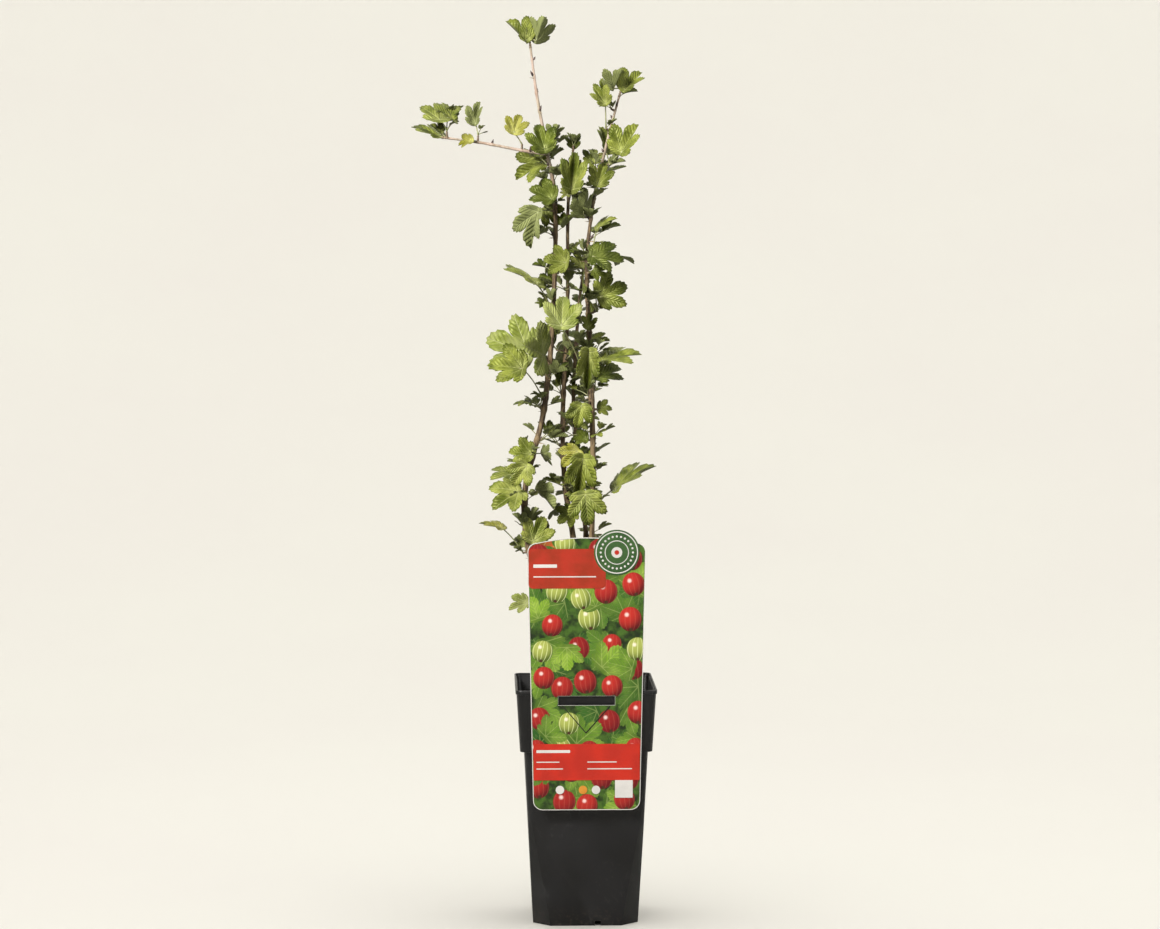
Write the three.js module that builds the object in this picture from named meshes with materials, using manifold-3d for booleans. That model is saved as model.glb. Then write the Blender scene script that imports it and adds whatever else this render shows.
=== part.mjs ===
// A young gooseberry bush in the tall square pot it is sold in, with a picture card hooked
// on the pot's rim. Millimetres, +Z up, +Y towards the back of the pot. The origin is the
// centre of the pot's flat underside.
import * as THREE from "three";
import { mergeVertices } from "three/addons/utils/BufferGeometryUtils.js";
import Module from "manifold-3d";

const wasm = await Module();
wasm.setup();

// ---------------------------------------------------------------- driving dimensions
const GAP = 0.3; // clearance between pieces that touch

// Pot: half widths across the flats, and heights.
const POT_HEIGHT = 204;
const RIM_HALF = 60;
const LIP_HEIGHT = 3.5;
const LIP_OUT = 0.8;
const COLLAR_BOTTOM = 151;
const COLLAR_HALF = 56.2;
const BODY_TOP_HALF = 52.6;
const BASE_HALF = 45;
const WALL = 1.4;
const FLOOR = 2;
const CORNER_ROUND = 5;
const CORNER_STEPS = 3;
const FOOT_CHAMFER = 15;
const CHAMFER_TOP = 94;
const NOTCH = { width: 5, height: 4, depth: 8, shift: 10 };

// Compost.
const SOIL_LEVEL = 190;
const SOIL_EDGE_DROP = 3;
const SOIL_FLAT_HALF = 34;

// Picture card on the rim.
const CARD = {
  bottom: 102.5,
  shoulder: 327.5,
  crown: 334,
  topHalf: 50,
  bottomHalf: 45.2,
  round: 8,
  flare: 0.2, // widening of the sides above the round of the bottom corners
  corner: 2, // height of the round shoulders above the sides' ends
  thickness: 1,
  curveSteps: 8,
};
const BADGE = { x: 25.4, z: 321.4, radius: 19.5 };
const SLOT = { half: 24, bottom: 191.8, top: 199.6 };
const HOOK = { half: 17, thickness: 1, tip: 191.5, rimGap: 0.4 };

// Limbs: the line each one follows, and its radius at the foot and at the tip.
const FOOT = SOIL_LEVEL + GAP;
const LIMBS = {
  stem_left: {
    radius: [3.2, 0.9],
    line: [
      [-13, -7, FOOT],
      [-40, -16, 290],
      [-52, -18, 362],
      [-35, -10, 440],
      [-27, -4, 522],
      [-25, 0, 612],
      [-32, 1, 660],
      [-40.5, -1, 706],
      [-46, -4, 747],
    ],
  },
  stem_middle: {
    radius: [3.0, 1.0],
    line: [
      [-5, 6, FOOT],
      [-3, 8, 280],
      [-16, 8, 370],
      [-18.5, 6, 430],
      [-14.5, 8, 520],
      [-14, 6, 610],
      [-10, 3, 658],
    ],
  },
  stem_back: {
    radius: [2.6, 1.0],
    line: [
      [5, 12, FOOT],
      [4, 20, 300],
      [-5, 22, 400],
      [-9, 19, 450],
      [-4, 16, 530],
      [3, 18, 580],
    ],
  },
  stem_right: {
    radius: [2.8, 0.9],
    line: [
      [9, -4, FOOT],
      [6, -8, 310],
      [7, -8, 400],
      [4, -6, 500],
      [2, 0, 560],
      [7, 4, 612],
      [20, 4, 670],
      [29.5, 3, 706],
    ],
  },
  shoot_left: {
    radius: [1.5, 0.8],
    line: [
      [-34, 1, 657.5],
      [-56, -1, 661],
      [-88, -3, 667],
      [-118, -4, 671],
    ],
  },
};
const LIMB_SIDES = 6;
const LIMB_STEP = 19; // length of bark from one ring of points to the next

// Leaves: the outline of one half, as angle from the middle lobe's tip and distance from the
// leaf stalk, for a leaf of size 1.
const HALF_OUTLINE = [
  [12, 0.92],
  [23, 0.54],
  [34, 0.82],
  [45, 0.93],
  [57, 0.78],
  [68, 0.52],
  [83, 0.57],
  [115, 0.28],
];
const BASE_RADIUS = 0.12;
const LOBE_ANGLE = 45;
const PLEAT = 0.05;
const DROOP = [0.04, 0.2]; // least and most, of the size at the middle lobe's tip
const BLADE_MIDDLE = 0.25; // along the midrib, where a blade's faces meet
const LEAF_THINNEST = 0.5;
const LEAF_SLIMNESS = 60; // size over thickness

// The stalk of a leaf: its root is sunk in the spur, it rises in an arch and ends in the blade.
const STALK = { radius: 0.6, swell: [1.1, 0.9, 1, 0.55], sides: 3, sunk: 0.08, arch: 0.06 };
const SPUR = { radius: 1.0, taper: 0.8, sides: 5, length: 2, perLeaf: 1.5 };

// Room kept round what already stands.
const LIMB_CLEARANCE = 1.6;
const LEAF_CLEARANCE = 2;
const OWN_CLEARANCE = 0.8; // between the lobes of leaves in one spray
const LOBES_FROM = 0.4; // of a leaf's size
const SAMPLE_STEP = 2; // along a limb
const SAMPLE_PARTS = [0.2, 0.4, 0.6, 0.8]; // along a stalk or spur
const SAMPLE_RINGS = [0.4, 0.6, 0.8, 1]; // from a blade's base to its edge

// The leaves that follow a spray's leading leaf: their turns round the spur in the order they
// unfold, the further turns each tries to find room, and how loosely they copy the leader.
const FAN = 115;
const TURNS = [0, FAN, -FAN, 2 * FAN];
const TRIES = [0, 28, -28];
const LOOSE = { turn: 30, roll: 40, swing: 50, stalk: 40, fold: 16, reach: 0.3, root: 0.3, size: 0.25 };

// Sprays: where each mass of leaves stands on its limb and how its leading leaf is held.
// name, limb, place along the limb (0 foot, 1 tip), steps from there to the base of the
// leading blade (across +X, forward -Y, up +Z), leaf size, aim of its tip as seen from the
// front (0 right, 90 up), tilt of the blade from level, fold of its halves along the midrib,
// number of leaves, azimuth the leading one faces (0 is +X, 90 is +Y).
const FRONT = 270;
const SPRAYS = [
  ["tuft_top", "stem_left", 1, -5, 1, 6, 25, 127, 58, 48, 4, 300],
  ["shoot_end", "shoot_left", 1, -5, -1, 1, 27, 151, 30, 8, 1, 325],
  ["shoot_fan", "shoot_left", 0.99, -6, 8, 15, 26, 88, 45, 10, 3],
  ["shoot_middle", "shoot_left", 0.7, -2, -4, 16, 20, 82, 80, 55, 2, 250],
  ["shoot_curl", "shoot_left", 0.72, -3, 8, 0, 13, 190, 50, 35, 1, 250],
  ["shoot_root", "shoot_left", 0.3, -7, 5, 15, 18, 72, 74, 30],
  ["tuft_right", "stem_right", 1, 5, 1, 6, 24, 52, 60, 46, 4, 255],
  ["right_1", "stem_right", 0.95, -8, -10, 11, 19, 98, 80, 60, 1, 250],
  ["right_2", "stem_right", 0.88, -4, 8, 23, 19, 122, 75, 48],
  ["right_3", "stem_right", 0.8, 17, 8, 11, 28, 64, 76, 38, 3, 240],
  ["right_4", "stem_right", 0.79, -7, -9, 7, 15, 78, 62, 20, 3],
  ["right_5", "stem_right", 0.75, 1, 14, 5, 21, 72, 78, 38],
  ["left_1", "stem_left", 0.74, -3, 14, 4, 25, 105, 76, 38, 3],
  ["left_2", "stem_left", 0.73, -4, -17, -1, 29, 208, 62, 35, 2, 250],
  ["left_3", "stem_left", 0.63, -3, 12, 4, 23, 150, 64, 35, 3],
  ["left_4", "stem_left", 0.62, -15, 12, -1, 32, 253, 82, 50, 1, 240],
  ["left_5", "stem_left", 0.6, -9, -9, 14, 19, 315, 72, 25, 2],
  ["middle_1", "stem_middle", 0.86, 2, 15, 7, 34, 84, 80, 60, 3],
  ["tuft_middle", "stem_middle", 1, 1, -2, 5, 15, 100, 62, 45, 3],
  ["right_6", "stem_right", 0.69, -5, -8, 3, 25, 92, 80, 52, 3, 90],
  ["right_7", "stem_right", 0.62, 8, 3, 16, 19, 38, 42, 12, 1, 200],
  ["middle_2", "stem_middle", 0.73, -2, 24, 9, 20, 168, 74, 18, 3],
  ["left_6", "stem_left", 0.51, -14, 12, 17, 35, 138, 38, 8, 1, 342],
  ["right_8", "stem_right", 0.58, 4, 22, 7, 27, 358, 42, 18, 3, 262],
  ["right_9", "stem_right", 0.56, 6, 14, 3, 12, 330, 66, 20],
  ["right_10", "stem_right", 0.47, 10, 3, 15, 26, 25, 78, 18, 3],
  ["front_1", "stem_right", 0.37, -26, 30, 50, 28, 86, 72, 30],
  ["left_7", "stem_left", 0.44, -18, 5, 5, 40, 156, 72, 14, 3],
  ["left_8", "stem_left", 0.39, -20, 30, 26, 29, 170, 62, 22],
  ["left_9", "stem_middle", 0.61, -12, -5, 7, 18, 155, 68, 20, 3],
  ["right_11", "stem_right", 0.44, -1, 10, 3, 14, 82, 76, 45],
  ["right_12", "stem_right", 0.39, 10, 8, 6, 34, 18, 24, 12, 1, 225],
  ["right_13", "stem_right", 0.36, 4, -9, 13, 27, 25, 44, 24, 2],
  ["middle_3", "stem_right", 0.41, -2, 24, 0, 32, 267, 82, 63],
  ["middle_4", "stem_middle", 0.62, 1, -14, 0, 26, 275, 85, 52, 2, 90],
  ["right_14", "stem_right", 0.35, -9, 14, -3, 20, 258, 82, 30],
  ["right_15", "stem_right", 0.34, 6, -8, 1, 12, 0, 60, 20, 2],
  ["low_1", "stem_left", 0.31, -1, 9, 3, 20, 168, 60, 25, 3],
  ["low_2", "stem_left", 0.29, -2, 22, 7, 21, 235, 78, 30],
  ["low_3", "stem_left", 0.25, -5, 11, 9, 28, 208, 45, 22, 3],
  ["low_4", "stem_middle", 0.41, 12, 15, 6, 19, 222, 70, 24, 2],
  ["low_5", "stem_right", 0.28, -9, 18, 2, 34, 262, 83, 54, 3],
  ["low_6", "stem_right", 0.22, -7, 27, 9, 27, 276, 84, 25],
  ["low_7", "stem_middle", 0.29, 3, 13, 3, 17, 215, 66, 20, 3],
  ["low_8", "stem_right", 0.22, 20, 6, 13, 39, 38, 40, 10, 1, 195],
  ["low_9", "stem_left", 0.18, 3, 13, 5, 24, 65, 80, 30, 3],
  ["low_10", "stem_left", 0.17, -24, 6, 21, 21, 157, 23, 8, 1, 335],
  ["low_11", "stem_back", 0.46, 9, 12, -5, 14, 176, 50, 30, 3],
  ["low_12", "stem_left", 0.1, -14, 8, 3, 17, 195, 52, 35, 2],
  ["low_13", "stem_left", 0.28, -11, -12, 4, 22, 183, 25, 12, 1, 290],
  ["low_14", "stem_left", 0.17, -6, -9, 5, 15, 128, 55, 30, 1, 230],
];

const LOOKS = {
  pot: { color: 0x242223, roughness: 0.4 },
  soil: { color: 0x2c221b, roughness: 0.75 },
  card: { color: 0xc93a2a, roughness: 0.4 },
  bark: { color: 0x6d5a49, roughness: 0.75 },
  leaf: { color: 0x6f9131, roughness: 0.4 },
};

// ---------------------------------------------------------------- solids
const UP = new THREE.Vector3(0, 0, 1);
const radians = THREE.MathUtils.degToRad;

function meshGeometry(positions, triangles) {
  const geometry = new THREE.BufferGeometry();
  geometry.setAttribute("position", new THREE.Float32BufferAttribute(positions, 3));
  geometry.setIndex(triangles);
  return geometry;
}

// A closed skin over rings of equal length, counter-clockwise seen against their order,
// with both end rings filled.
function loft(rings) {
  const count = rings[0].length;
  const positions = rings.flat().flatMap((point) => [point.x, point.y, point.z]);
  const triangles = [];
  for (let ring = 0; ring + 1 < rings.length; ring += 1) {
    for (let side = 0; side < count; side += 1) {
      const next = (side + 1) % count;
      const a = ring * count + side;
      const b = ring * count + next;
      triangles.push(a, b, b + count, a, b + count, a + count);
    }
  }
  const last = (rings.length - 1) * count;
  for (let side = 1; side + 1 < count; side += 1) {
    triangles.push(0, side + 1, side, last, last + side, last + side + 1);
  }
  return meshGeometry(positions, triangles);
}

function toSolid(geometry) {
  const bare = geometry.clone();
  bare.deleteAttribute("normal");
  bare.deleteAttribute("uv");
  const merged = mergeVertices(bare, 1e-4);
  const mesh = new wasm.Mesh({
    numProp: 3,
    vertProperties: new Float32Array(merged.attributes.position.array),
    triVerts: new Uint32Array(merged.index.array),
  });
  return new wasm.Manifold(mesh);
}

function toGeometry(solid) {
  const mesh = solid.getMesh();
  return meshGeometry(Array.from(mesh.vertProperties), Array.from(mesh.triVerts));
}

// Joins solids and keeps the one body that holds them together.
function fuse(geometries) {
  let joined = toSolid(geometries[0]);
  for (const geometry of geometries.slice(1)) {
    joined = joined.add(toSolid(geometry));
  }
  const bodies = joined.decompose();
  bodies.sort((a, b) => b.volume() - a.volume());
  return toGeometry(bodies[0]);
}

function extrudeUpright(shape, thickness, frontY) {
  // The shape is drawn in X and Z and grows from frontY towards +Y.
  const geometry = new THREE.ExtrudeGeometry(shape, {
    depth: thickness,
    bevelEnabled: false,
    curveSegments: CARD.curveSteps,
  });
  geometry.rotateX(Math.PI / 2);
  geometry.translate(0, frontY + thickness, 0);
  return geometry;
}

// ---------------------------------------------------------------- pot
// A square ring whose corners run from a straight chamfer (bulge 0) to a round (bulge 1).
function squareRing(half, corner, bulge, z) {
  const ring = [];
  for (let quarter = 0; quarter < 4; quarter += 1) {
    for (let step = 0; step <= CORNER_STEPS; step += 1) {
      const part = step / CORNER_STEPS;
      const angle = (part * Math.PI) / 2;
      const x = THREE.MathUtils.lerp(1 - part, Math.cos(angle), bulge);
      const y = THREE.MathUtils.lerp(part, Math.sin(angle), bulge);
      const point = new THREE.Vector3(half - corner + corner * x, half - corner + corner * y, z);
      ring.push(point.applyAxisAngle(UP, (quarter * Math.PI) / 2));
    }
  }
  return ring;
}

function bodyHalf(z) {
  return THREE.MathUtils.lerp(BASE_HALF, BODY_TOP_HALF, z / COLLAR_BOTTOM);
}

function collarHalf(z) {
  const top = POT_HEIGHT - LIP_HEIGHT;
  const part = (z - COLLAR_BOTTOM) / (top - COLLAR_BOTTOM);
  return THREE.MathUtils.lerp(COLLAR_HALF, RIM_HALF - LIP_OUT, part);
}

// The inner face of the pot, from the rim down to a floor level, moved inwards by a margin.
function innerRings(margin, floorZ, topZ) {
  const inset = WALL + margin;
  const ledge = COLLAR_BOTTOM + WALL + margin;
  const corner = CORNER_ROUND - WALL;
  return [
    squareRing(collarHalf(topZ) - inset, corner, 1, topZ),
    squareRing(collarHalf(ledge) - inset, corner, 1, ledge),
    squareRing(bodyHalf(ledge) - inset, corner, 1, ledge),
    squareRing(bodyHalf(CHAMFER_TOP) - inset, corner, 1, CHAMFER_TOP),
    squareRing(bodyHalf(floorZ) - inset, FOOT_CHAMFER - WALL, 0, floorZ),
  ];
}

function buildPot() {
  const lipBottom = POT_HEIGHT - LIP_HEIGHT;
  const outer = [
    squareRing(BASE_HALF, FOOT_CHAMFER, 0, 0),
    squareRing(bodyHalf(CHAMFER_TOP), CORNER_ROUND, 1, CHAMFER_TOP),
    squareRing(BODY_TOP_HALF, CORNER_ROUND, 1, COLLAR_BOTTOM),
    squareRing(COLLAR_HALF, CORNER_ROUND, 1, COLLAR_BOTTOM),
    squareRing(collarHalf(lipBottom), CORNER_ROUND, 1, lipBottom),
    squareRing(RIM_HALF, CORNER_ROUND, 1, lipBottom),
    squareRing(RIM_HALF, CORNER_ROUND, 1, POT_HEIGHT),
  ];
  let pot = toSolid(loft([...outer, ...innerRings(0, FLOOR, POT_HEIGHT)]));
  for (let side = 0; side < 4; side += 1) {
    const notch = new THREE.BoxGeometry(NOTCH.width, NOTCH.depth, NOTCH.height * 2);
    notch.translate(NOTCH.shift, -BASE_HALF, 0);
    notch.rotateZ((side * Math.PI) / 2);
    pot = pot.subtract(toSolid(notch));
  }
  return toGeometry(pot);
}

function buildSoil() {
  const edge = SOIL_LEVEL - SOIL_EDGE_DROP;
  const top = squareRing(SOIL_FLAT_HALF, CORNER_ROUND, 1, SOIL_LEVEL);
  const cast = loft([top, ...innerRings(GAP, FLOOR + GAP, edge)]);
  const turned = Array.from(cast.index.array).reverse();
  return cast.setIndex(turned);
}

// ---------------------------------------------------------------- picture card
function cardShape() {
  const { bottom, shoulder, crown, topHalf, bottomHalf, round, flare, corner } = CARD;
  const shape = new THREE.Shape();
  shape.moveTo(-bottomHalf + round, bottom);
  shape.lineTo(bottomHalf - round, bottom);
  shape.quadraticCurveTo(bottomHalf, bottom, bottomHalf + flare, bottom + round);
  shape.lineTo(topHalf, shoulder - round);
  shape.quadraticCurveTo(topHalf, shoulder, topHalf - round, shoulder + corner);
  shape.quadraticCurveTo(0, 2 * crown - shoulder - corner, -topHalf + round, shoulder + corner);
  shape.quadraticCurveTo(-topHalf, shoulder, -topHalf, shoulder - round);
  shape.lineTo(-bottomHalf - flare, bottom + round);
  shape.quadraticCurveTo(-bottomHalf, bottom, -bottomHalf + round, bottom);
  return shape;
}

function rectangle(left, bottom, right, top) {
  return new THREE.Shape([
    new THREE.Vector2(left, bottom),
    new THREE.Vector2(right, bottom),
    new THREE.Vector2(right, top),
    new THREE.Vector2(left, top),
  ]);
}

function buildCard() {
  const back = -RIM_HALF - HOOK.rimGap;
  const front = back - CARD.thickness;
  const badge = new THREE.Shape();
  badge.absarc(BADGE.x, BADGE.z, BADGE.radius, 0, 2 * Math.PI);
  const slot = rectangle(-SLOT.half, SLOT.bottom, SLOT.half, SLOT.top);
  const plate = toSolid(extrudeUpright(cardShape(), CARD.thickness, front))
    .add(toSolid(extrudeUpright(badge, CARD.thickness, front)))
    .subtract(toSolid(extrudeUpright(slot, CARD.thickness + 2, front - 1)));

  const under = POT_HEIGHT + HOOK.rimGap;
  const tongueBack = -(collarHalf(HOOK.tip) - WALL - HOOK.rimGap - HOOK.thickness);
  const bridge = new THREE.BoxGeometry(2 * HOOK.half, tongueBack - front, HOOK.thickness);
  bridge.translate(0, (tongueBack + front) / 2, under + HOOK.thickness / 2);
  const tongue = rectangle(-HOOK.half, HOOK.tip, HOOK.half, under + HOOK.thickness);
  const drop = extrudeUpright(tongue, HOOK.thickness, tongueBack - HOOK.thickness);
  return toGeometry(plate.add(toSolid(bridge)).add(toSolid(drop)));
}

// ---------------------------------------------------------------- limbs
function limbCurve(limb) {
  const points = limb.line.map((point) => new THREE.Vector3(...point));
  return new THREE.CatmullRomCurve3(points, false, "catmullrom", 0.5);
}

function limbRadius(limb, at) {
  return THREE.MathUtils.lerp(limb.radius[0], limb.radius[1], at);
}

// A ring of points round a centre, square to an axis.
function ringAround(centre, axis, radius, sides) {
  const sideways = new THREE.Vector3(0, 1, 0).cross(axis).normalize();
  const other = axis.clone().cross(sideways);
  const ring = [];
  for (let side = 0; side < sides; side += 1) {
    const angle = (2 * Math.PI * side) / sides;
    const point = centre.clone().addScaledVector(sideways, radius * Math.cos(angle));
    ring.push(point.addScaledVector(other, radius * Math.sin(angle)));
  }
  return ring;
}

function buildLimb(limb) {
  const curve = limbCurve(limb);
  const steps = Math.ceil(curve.getLength() / LIMB_STEP);
  const rings = [];
  for (let step = 0; step <= steps; step += 1) {
    const at = step / steps;
    const standing = step === 0 && limb.line[0][2] === FOOT;
    const axis = standing ? UP : curve.getTangent(at);
    rings.push(ringAround(curve.getPoint(at), axis, limbRadius(limb, at), LIMB_SIDES));
  }
  return loft(rings);
}

// ---------------------------------------------------------------- sprays of leaves
const RANDOM = { modulus: 2147483647, spread: 48271, offset: 11, factor: 16807, discarded: 2 };

// Repeatable random numbers from 0 to 1.
function randomFrom(seed) {
  let state = (seed * RANDOM.spread + RANDOM.offset) % RANDOM.modulus;
  const draw = () => {
    state = (state * RANDOM.factor) % RANDOM.modulus;
    return state / RANDOM.modulus;
  };
  for (let round = 0; round < RANDOM.discarded; round += 1) {
    draw();
  }
  return draw;
}

function direction(azimuth, rise) {
  const level = new THREE.Vector3(Math.cos(radians(azimuth)), Math.sin(radians(azimuth)), 0);
  return level.multiplyScalar(Math.cos(radians(rise))).addScaledVector(UP, Math.sin(radians(rise)));
}

// The whole outline, and the points round it by which a leaf's room is tested.
const OUTLINE = [
  [0, 1],
  ...HALF_OUTLINE,
  [180, BASE_RADIUS],
  ...HALF_OUTLINE.map(([angle, radius]) => [360 - angle, radius]).reverse(),
];
const TESTED = OUTLINE.flatMap(([angle, radius], index) => {
  const [nextAngle, nextRadius] = OUTLINE[index + 1] ?? [360, 1];
  return [[angle, radius], [(angle + nextAngle) / 2, (radius + nextRadius) / 2]];
});

// A point of a leaf blade at an angle and a distance, both seen from the leaf stalk.
function bladePoint(leaf, angle, radius) {
  const theta = radians(angle);
  const along = radius * Math.cos(theta);
  const across = radius * Math.sin(theta);
  const pleat = PLEAT * radius * Math.cos((2 * Math.PI * angle) / LOBE_ANGLE);
  const fold = radians(leaf.fold);
  const height = Math.sin(fold) * Math.abs(across) - leaf.droop * radius * radius - pleat;
  return leaf.joint
    .clone()
    .addScaledVector(leaf.axis, leaf.size * along)
    .addScaledVector(leaf.side, leaf.size * across * Math.cos(fold))
    .addScaledVector(leaf.normal, leaf.size * height);
}

function bladeSolid(leaf) {
  const half = Math.max(LEAF_THINNEST, leaf.size / LEAF_SLIMNESS) / 2;
  const count = OUTLINE.length;
  const faces = [half, -half].map((offset) => {
    const points = OUTLINE.map(([angle, radius]) => bladePoint(leaf, angle, radius));
    points.push(bladePoint(leaf, 0, BLADE_MIDDLE));
    return points.map((point) => point.addScaledVector(leaf.normal, offset));
  });
  const positions = faces.flat().flatMap((point) => [point.x, point.y, point.z]);
  const triangles = [];
  const under = count + 1;
  for (let side = 0; side < count; side += 1) {
    const next = (side + 1) % count;
    triangles.push(count, side, next, under + count, under + next, under + side);
    triangles.push(side, under + side, under + next, side, under + next, next);
  }
  return meshGeometry(positions, triangles);
}

function tube(points, radii, sides) {
  const rings = points.map((point, index) => {
    const before = points[Math.max(index - 1, 0)];
    const after = points[Math.min(index + 1, points.length - 1)];
    const axis = after.clone().sub(before).normalize();
    return ringAround(point, axis, radii[index], sides);
  });
  return loft(rings);
}

function stalkSolid(leaf) {
  const start = leaf.root.clone().lerp(leaf.joint, -STALK.sunk);
  const middle = leaf.root.clone().lerp(leaf.joint, 0.5);
  middle.z += STALK.arch * leaf.root.distanceTo(leaf.joint);
  const end = bladePoint(leaf, 0, BASE_RADIUS);
  const radii = STALK.swell.map((factor) => factor * STALK.radius);
  return tube([start, middle, leaf.joint, end], radii, STALK.sides);
}

const limbSamples = Object.values(LIMBS).flatMap((limb) => {
  const curve = limbCurve(limb);
  const steps = Math.ceil(curve.getLength() / SAMPLE_STEP);
  return Array.from({ length: steps + 1 }, (_, step) => ({
    point: curve.getPoint(step / steps),
    radius: limbRadius(limb, step / steps),
  }));
});

function alongLine(from, to) {
  return SAMPLE_PARTS.map((part) => from.clone().lerp(to, part));
}

// Points over a leaf: its stalk, its whole blade, and the blade without its narrow base.
function leafSamples(leaf) {
  const rings = SAMPLE_RINGS.flatMap((share) =>
    TESTED.map(([angle, radius]) => [bladePoint(leaf, angle, radius * share), radius * share]),
  );
  return {
    stalk: alongLine(leaf.root, leaf.joint),
    blade: rings.map(([point]) => point),
    lobes: rings.filter(([, radius]) => radius > LOBES_FROM).map(([point]) => point),
  };
}

function clearOfLimbs(points) {
  return points.every((point) =>
    limbSamples.every((limb) => point.distanceTo(limb.point) > limb.radius + LIMB_CLEARANCE),
  );
}

function clearOf(points, others, clearance) {
  return points.every((point) => others.every((other) => point.distanceTo(other) > clearance));
}

// A leaf has room where it touches no limb and nothing of the sprays that already stands.
function hasRoom(spray, { stalk, blade, lobes }, sprays) {
  return (
    clearOfLimbs([...stalk, ...blade]) &&
    clearOf(lobes, spray.lobes, OWN_CLEARANCE) &&
    sprays
      .filter((other) => other !== spray)
      .every((other) => clearOf([...stalk, ...blade], other.taken, LEAF_CLEARANCE))
  );
}

// The tip's direction within a blade: as seen from the front it points at the aim.
function aimedAxis(normal, aim) {
  const seen = new THREE.Vector3(Math.cos(radians(aim)), 0, Math.sin(radians(aim)));
  seen.y = -seen.dot(normal) / normal.y;
  return seen.normalize();
}

// The spur that carries a spray leaves the limb's side, or its tip, a gap clear of the bark.
function startSpray(row, index) {
  const [name, limbName, at, across, forward, up, size, aim, tilt, fold] = row;
  const [leaves = 1, face = FRONT] = row.slice(10);
  const limb = LIMBS[limbName];
  const node = limbCurve(limb).getPoint(at);
  const tangent = limbCurve(limb).getTangent(at);
  const stalk = new THREE.Vector3(across, -forward, up);
  const heading = stalk.clone().normalize();
  const out = heading.clone().addScaledVector(tangent, -heading.dot(tangent)).normalize();
  const ends = at === 1;
  const spurAxis = ends ? tangent : heading.clone().add(out).normalize();
  const lean = spurAxis.clone().cross(out).length();
  const clear = ends ? GAP : limbRadius(limb, at) + GAP + SPUR.radius * lean;
  const start = node.clone().addScaledVector(ends ? tangent : out, clear);
  const tip = start.clone().addScaledVector(spurAxis, SPUR.length + SPUR.perLeaf * leaves);
  const pieces = [tube([start, tip], [SPUR.radius, SPUR.taper * SPUR.radius], SPUR.sides)];
  const normal = direction(face, 90 - tilt);
  const lead = { stalk, size, fold, normal, axis: aimedAxis(normal, aim) };
  const taken = [...alongLine(start, tip), tip];
  return { name, index, node, start, tip, leaves, lead, pieces, taken, lobes: [] };
}

// The leading leaf is held as its spray says. Those that follow are turned round the spur from
// it, and a little loose in every other way.
function spreadLeaf(spray, rank, furtherTurn) {
  const { node, start, tip, lead } = spray;
  const draw = randomFrom(spray.index * TURNS.length + rank + 1);
  const loose = rank > 0 ? 1 : 0;
  const jitter = (spread) => radians(loose * spread * (draw() - 0.5));
  const turn = radians(TURNS[rank] + furtherTurn) + jitter(LOOSE.turn);
  const normal = lead.normal.clone().applyAxisAngle(UP, turn);
  const axis = lead.axis.clone().applyAxisAngle(UP, turn);
  normal.applyAxisAngle(axis, jitter(LOOSE.roll));
  axis.applyAxisAngle(normal, jitter(LOOSE.swing));
  const stalk = lead.stalk.clone().applyAxisAngle(UP, turn + jitter(LOOSE.stalk));
  return {
    root: tip.clone().lerp(start, loose * LOOSE.root * draw()),
    joint: node.clone().addScaledVector(stalk, 1 + loose * LOOSE.reach * (draw() - 0.3)),
    axis,
    normal,
    side: normal.clone().cross(axis),
    size: lead.size * (1 - loose * LOOSE.size * draw()),
    fold: lead.fold + loose * LOOSE.fold * (draw() - 0.5),
    droop: THREE.MathUtils.lerp(DROOP[0], DROOP[1], draw()),
  };
}

// Unfolds one more leaf of a spray where it finds room.
function unfoldLeaf(spray, rank, sprays) {
  for (const furtherTurn of rank > 0 ? TRIES : [0]) {
    const leaf = spreadLeaf(spray, rank, furtherTurn);
    const samples = leafSamples(leaf);
    if (hasRoom(spray, samples, sprays)) {
      spray.pieces.push(stalkSolid(leaf), bladeSolid(leaf));
      spray.taken.push(...samples.stalk, ...samples.blade);
      spray.lobes.push(...samples.lobes);
      return;
    }
  }
}

// Every spray unfolds its leading leaf before any spray unfolds its second, and so on.
function growSprays() {
  const sprays = SPRAYS.map(startSpray);
  for (let rank = 0; rank < TURNS.length; rank += 1) {
    for (const spray of sprays.filter(({ leaves }) => leaves > rank)) {
      unfoldLeaf(spray, rank, sprays);
    }
  }
  return sprays;
}

// ---------------------------------------------------------------- assembly
const bush = new THREE.Group();

function addPiece(name, geometry, look) {
  const mesh = new THREE.Mesh(geometry, new THREE.MeshStandardMaterial({ ...look, metalness: 0 }));
  mesh.name = name;
  bush.add(mesh);
}

addPiece("pot", buildPot(), LOOKS.pot);
addPiece("soil", buildSoil(), LOOKS.soil);
addPiece("card", buildCard(), LOOKS.card);
for (const [name, limb] of Object.entries(LIMBS)) {
  addPiece(name, buildLimb(limb), LOOKS.bark);
}
for (const spray of growSprays()) {
  addPiece(spray.name, fuse(spray.pieces), LOOKS.leaf);
}

export default bush;
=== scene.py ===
"""A young gooseberry bush in its square pot, with a picture card on the rim.

Sizes and places are in millimetres, +Z up and +Y to the back, and become metres as each mesh
is made. The bush grows on from its limbs by one seeded rule.
"""

import math

import bmesh
import bpy
import numpy as np
from mathutils import Euler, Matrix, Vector, noise


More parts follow.
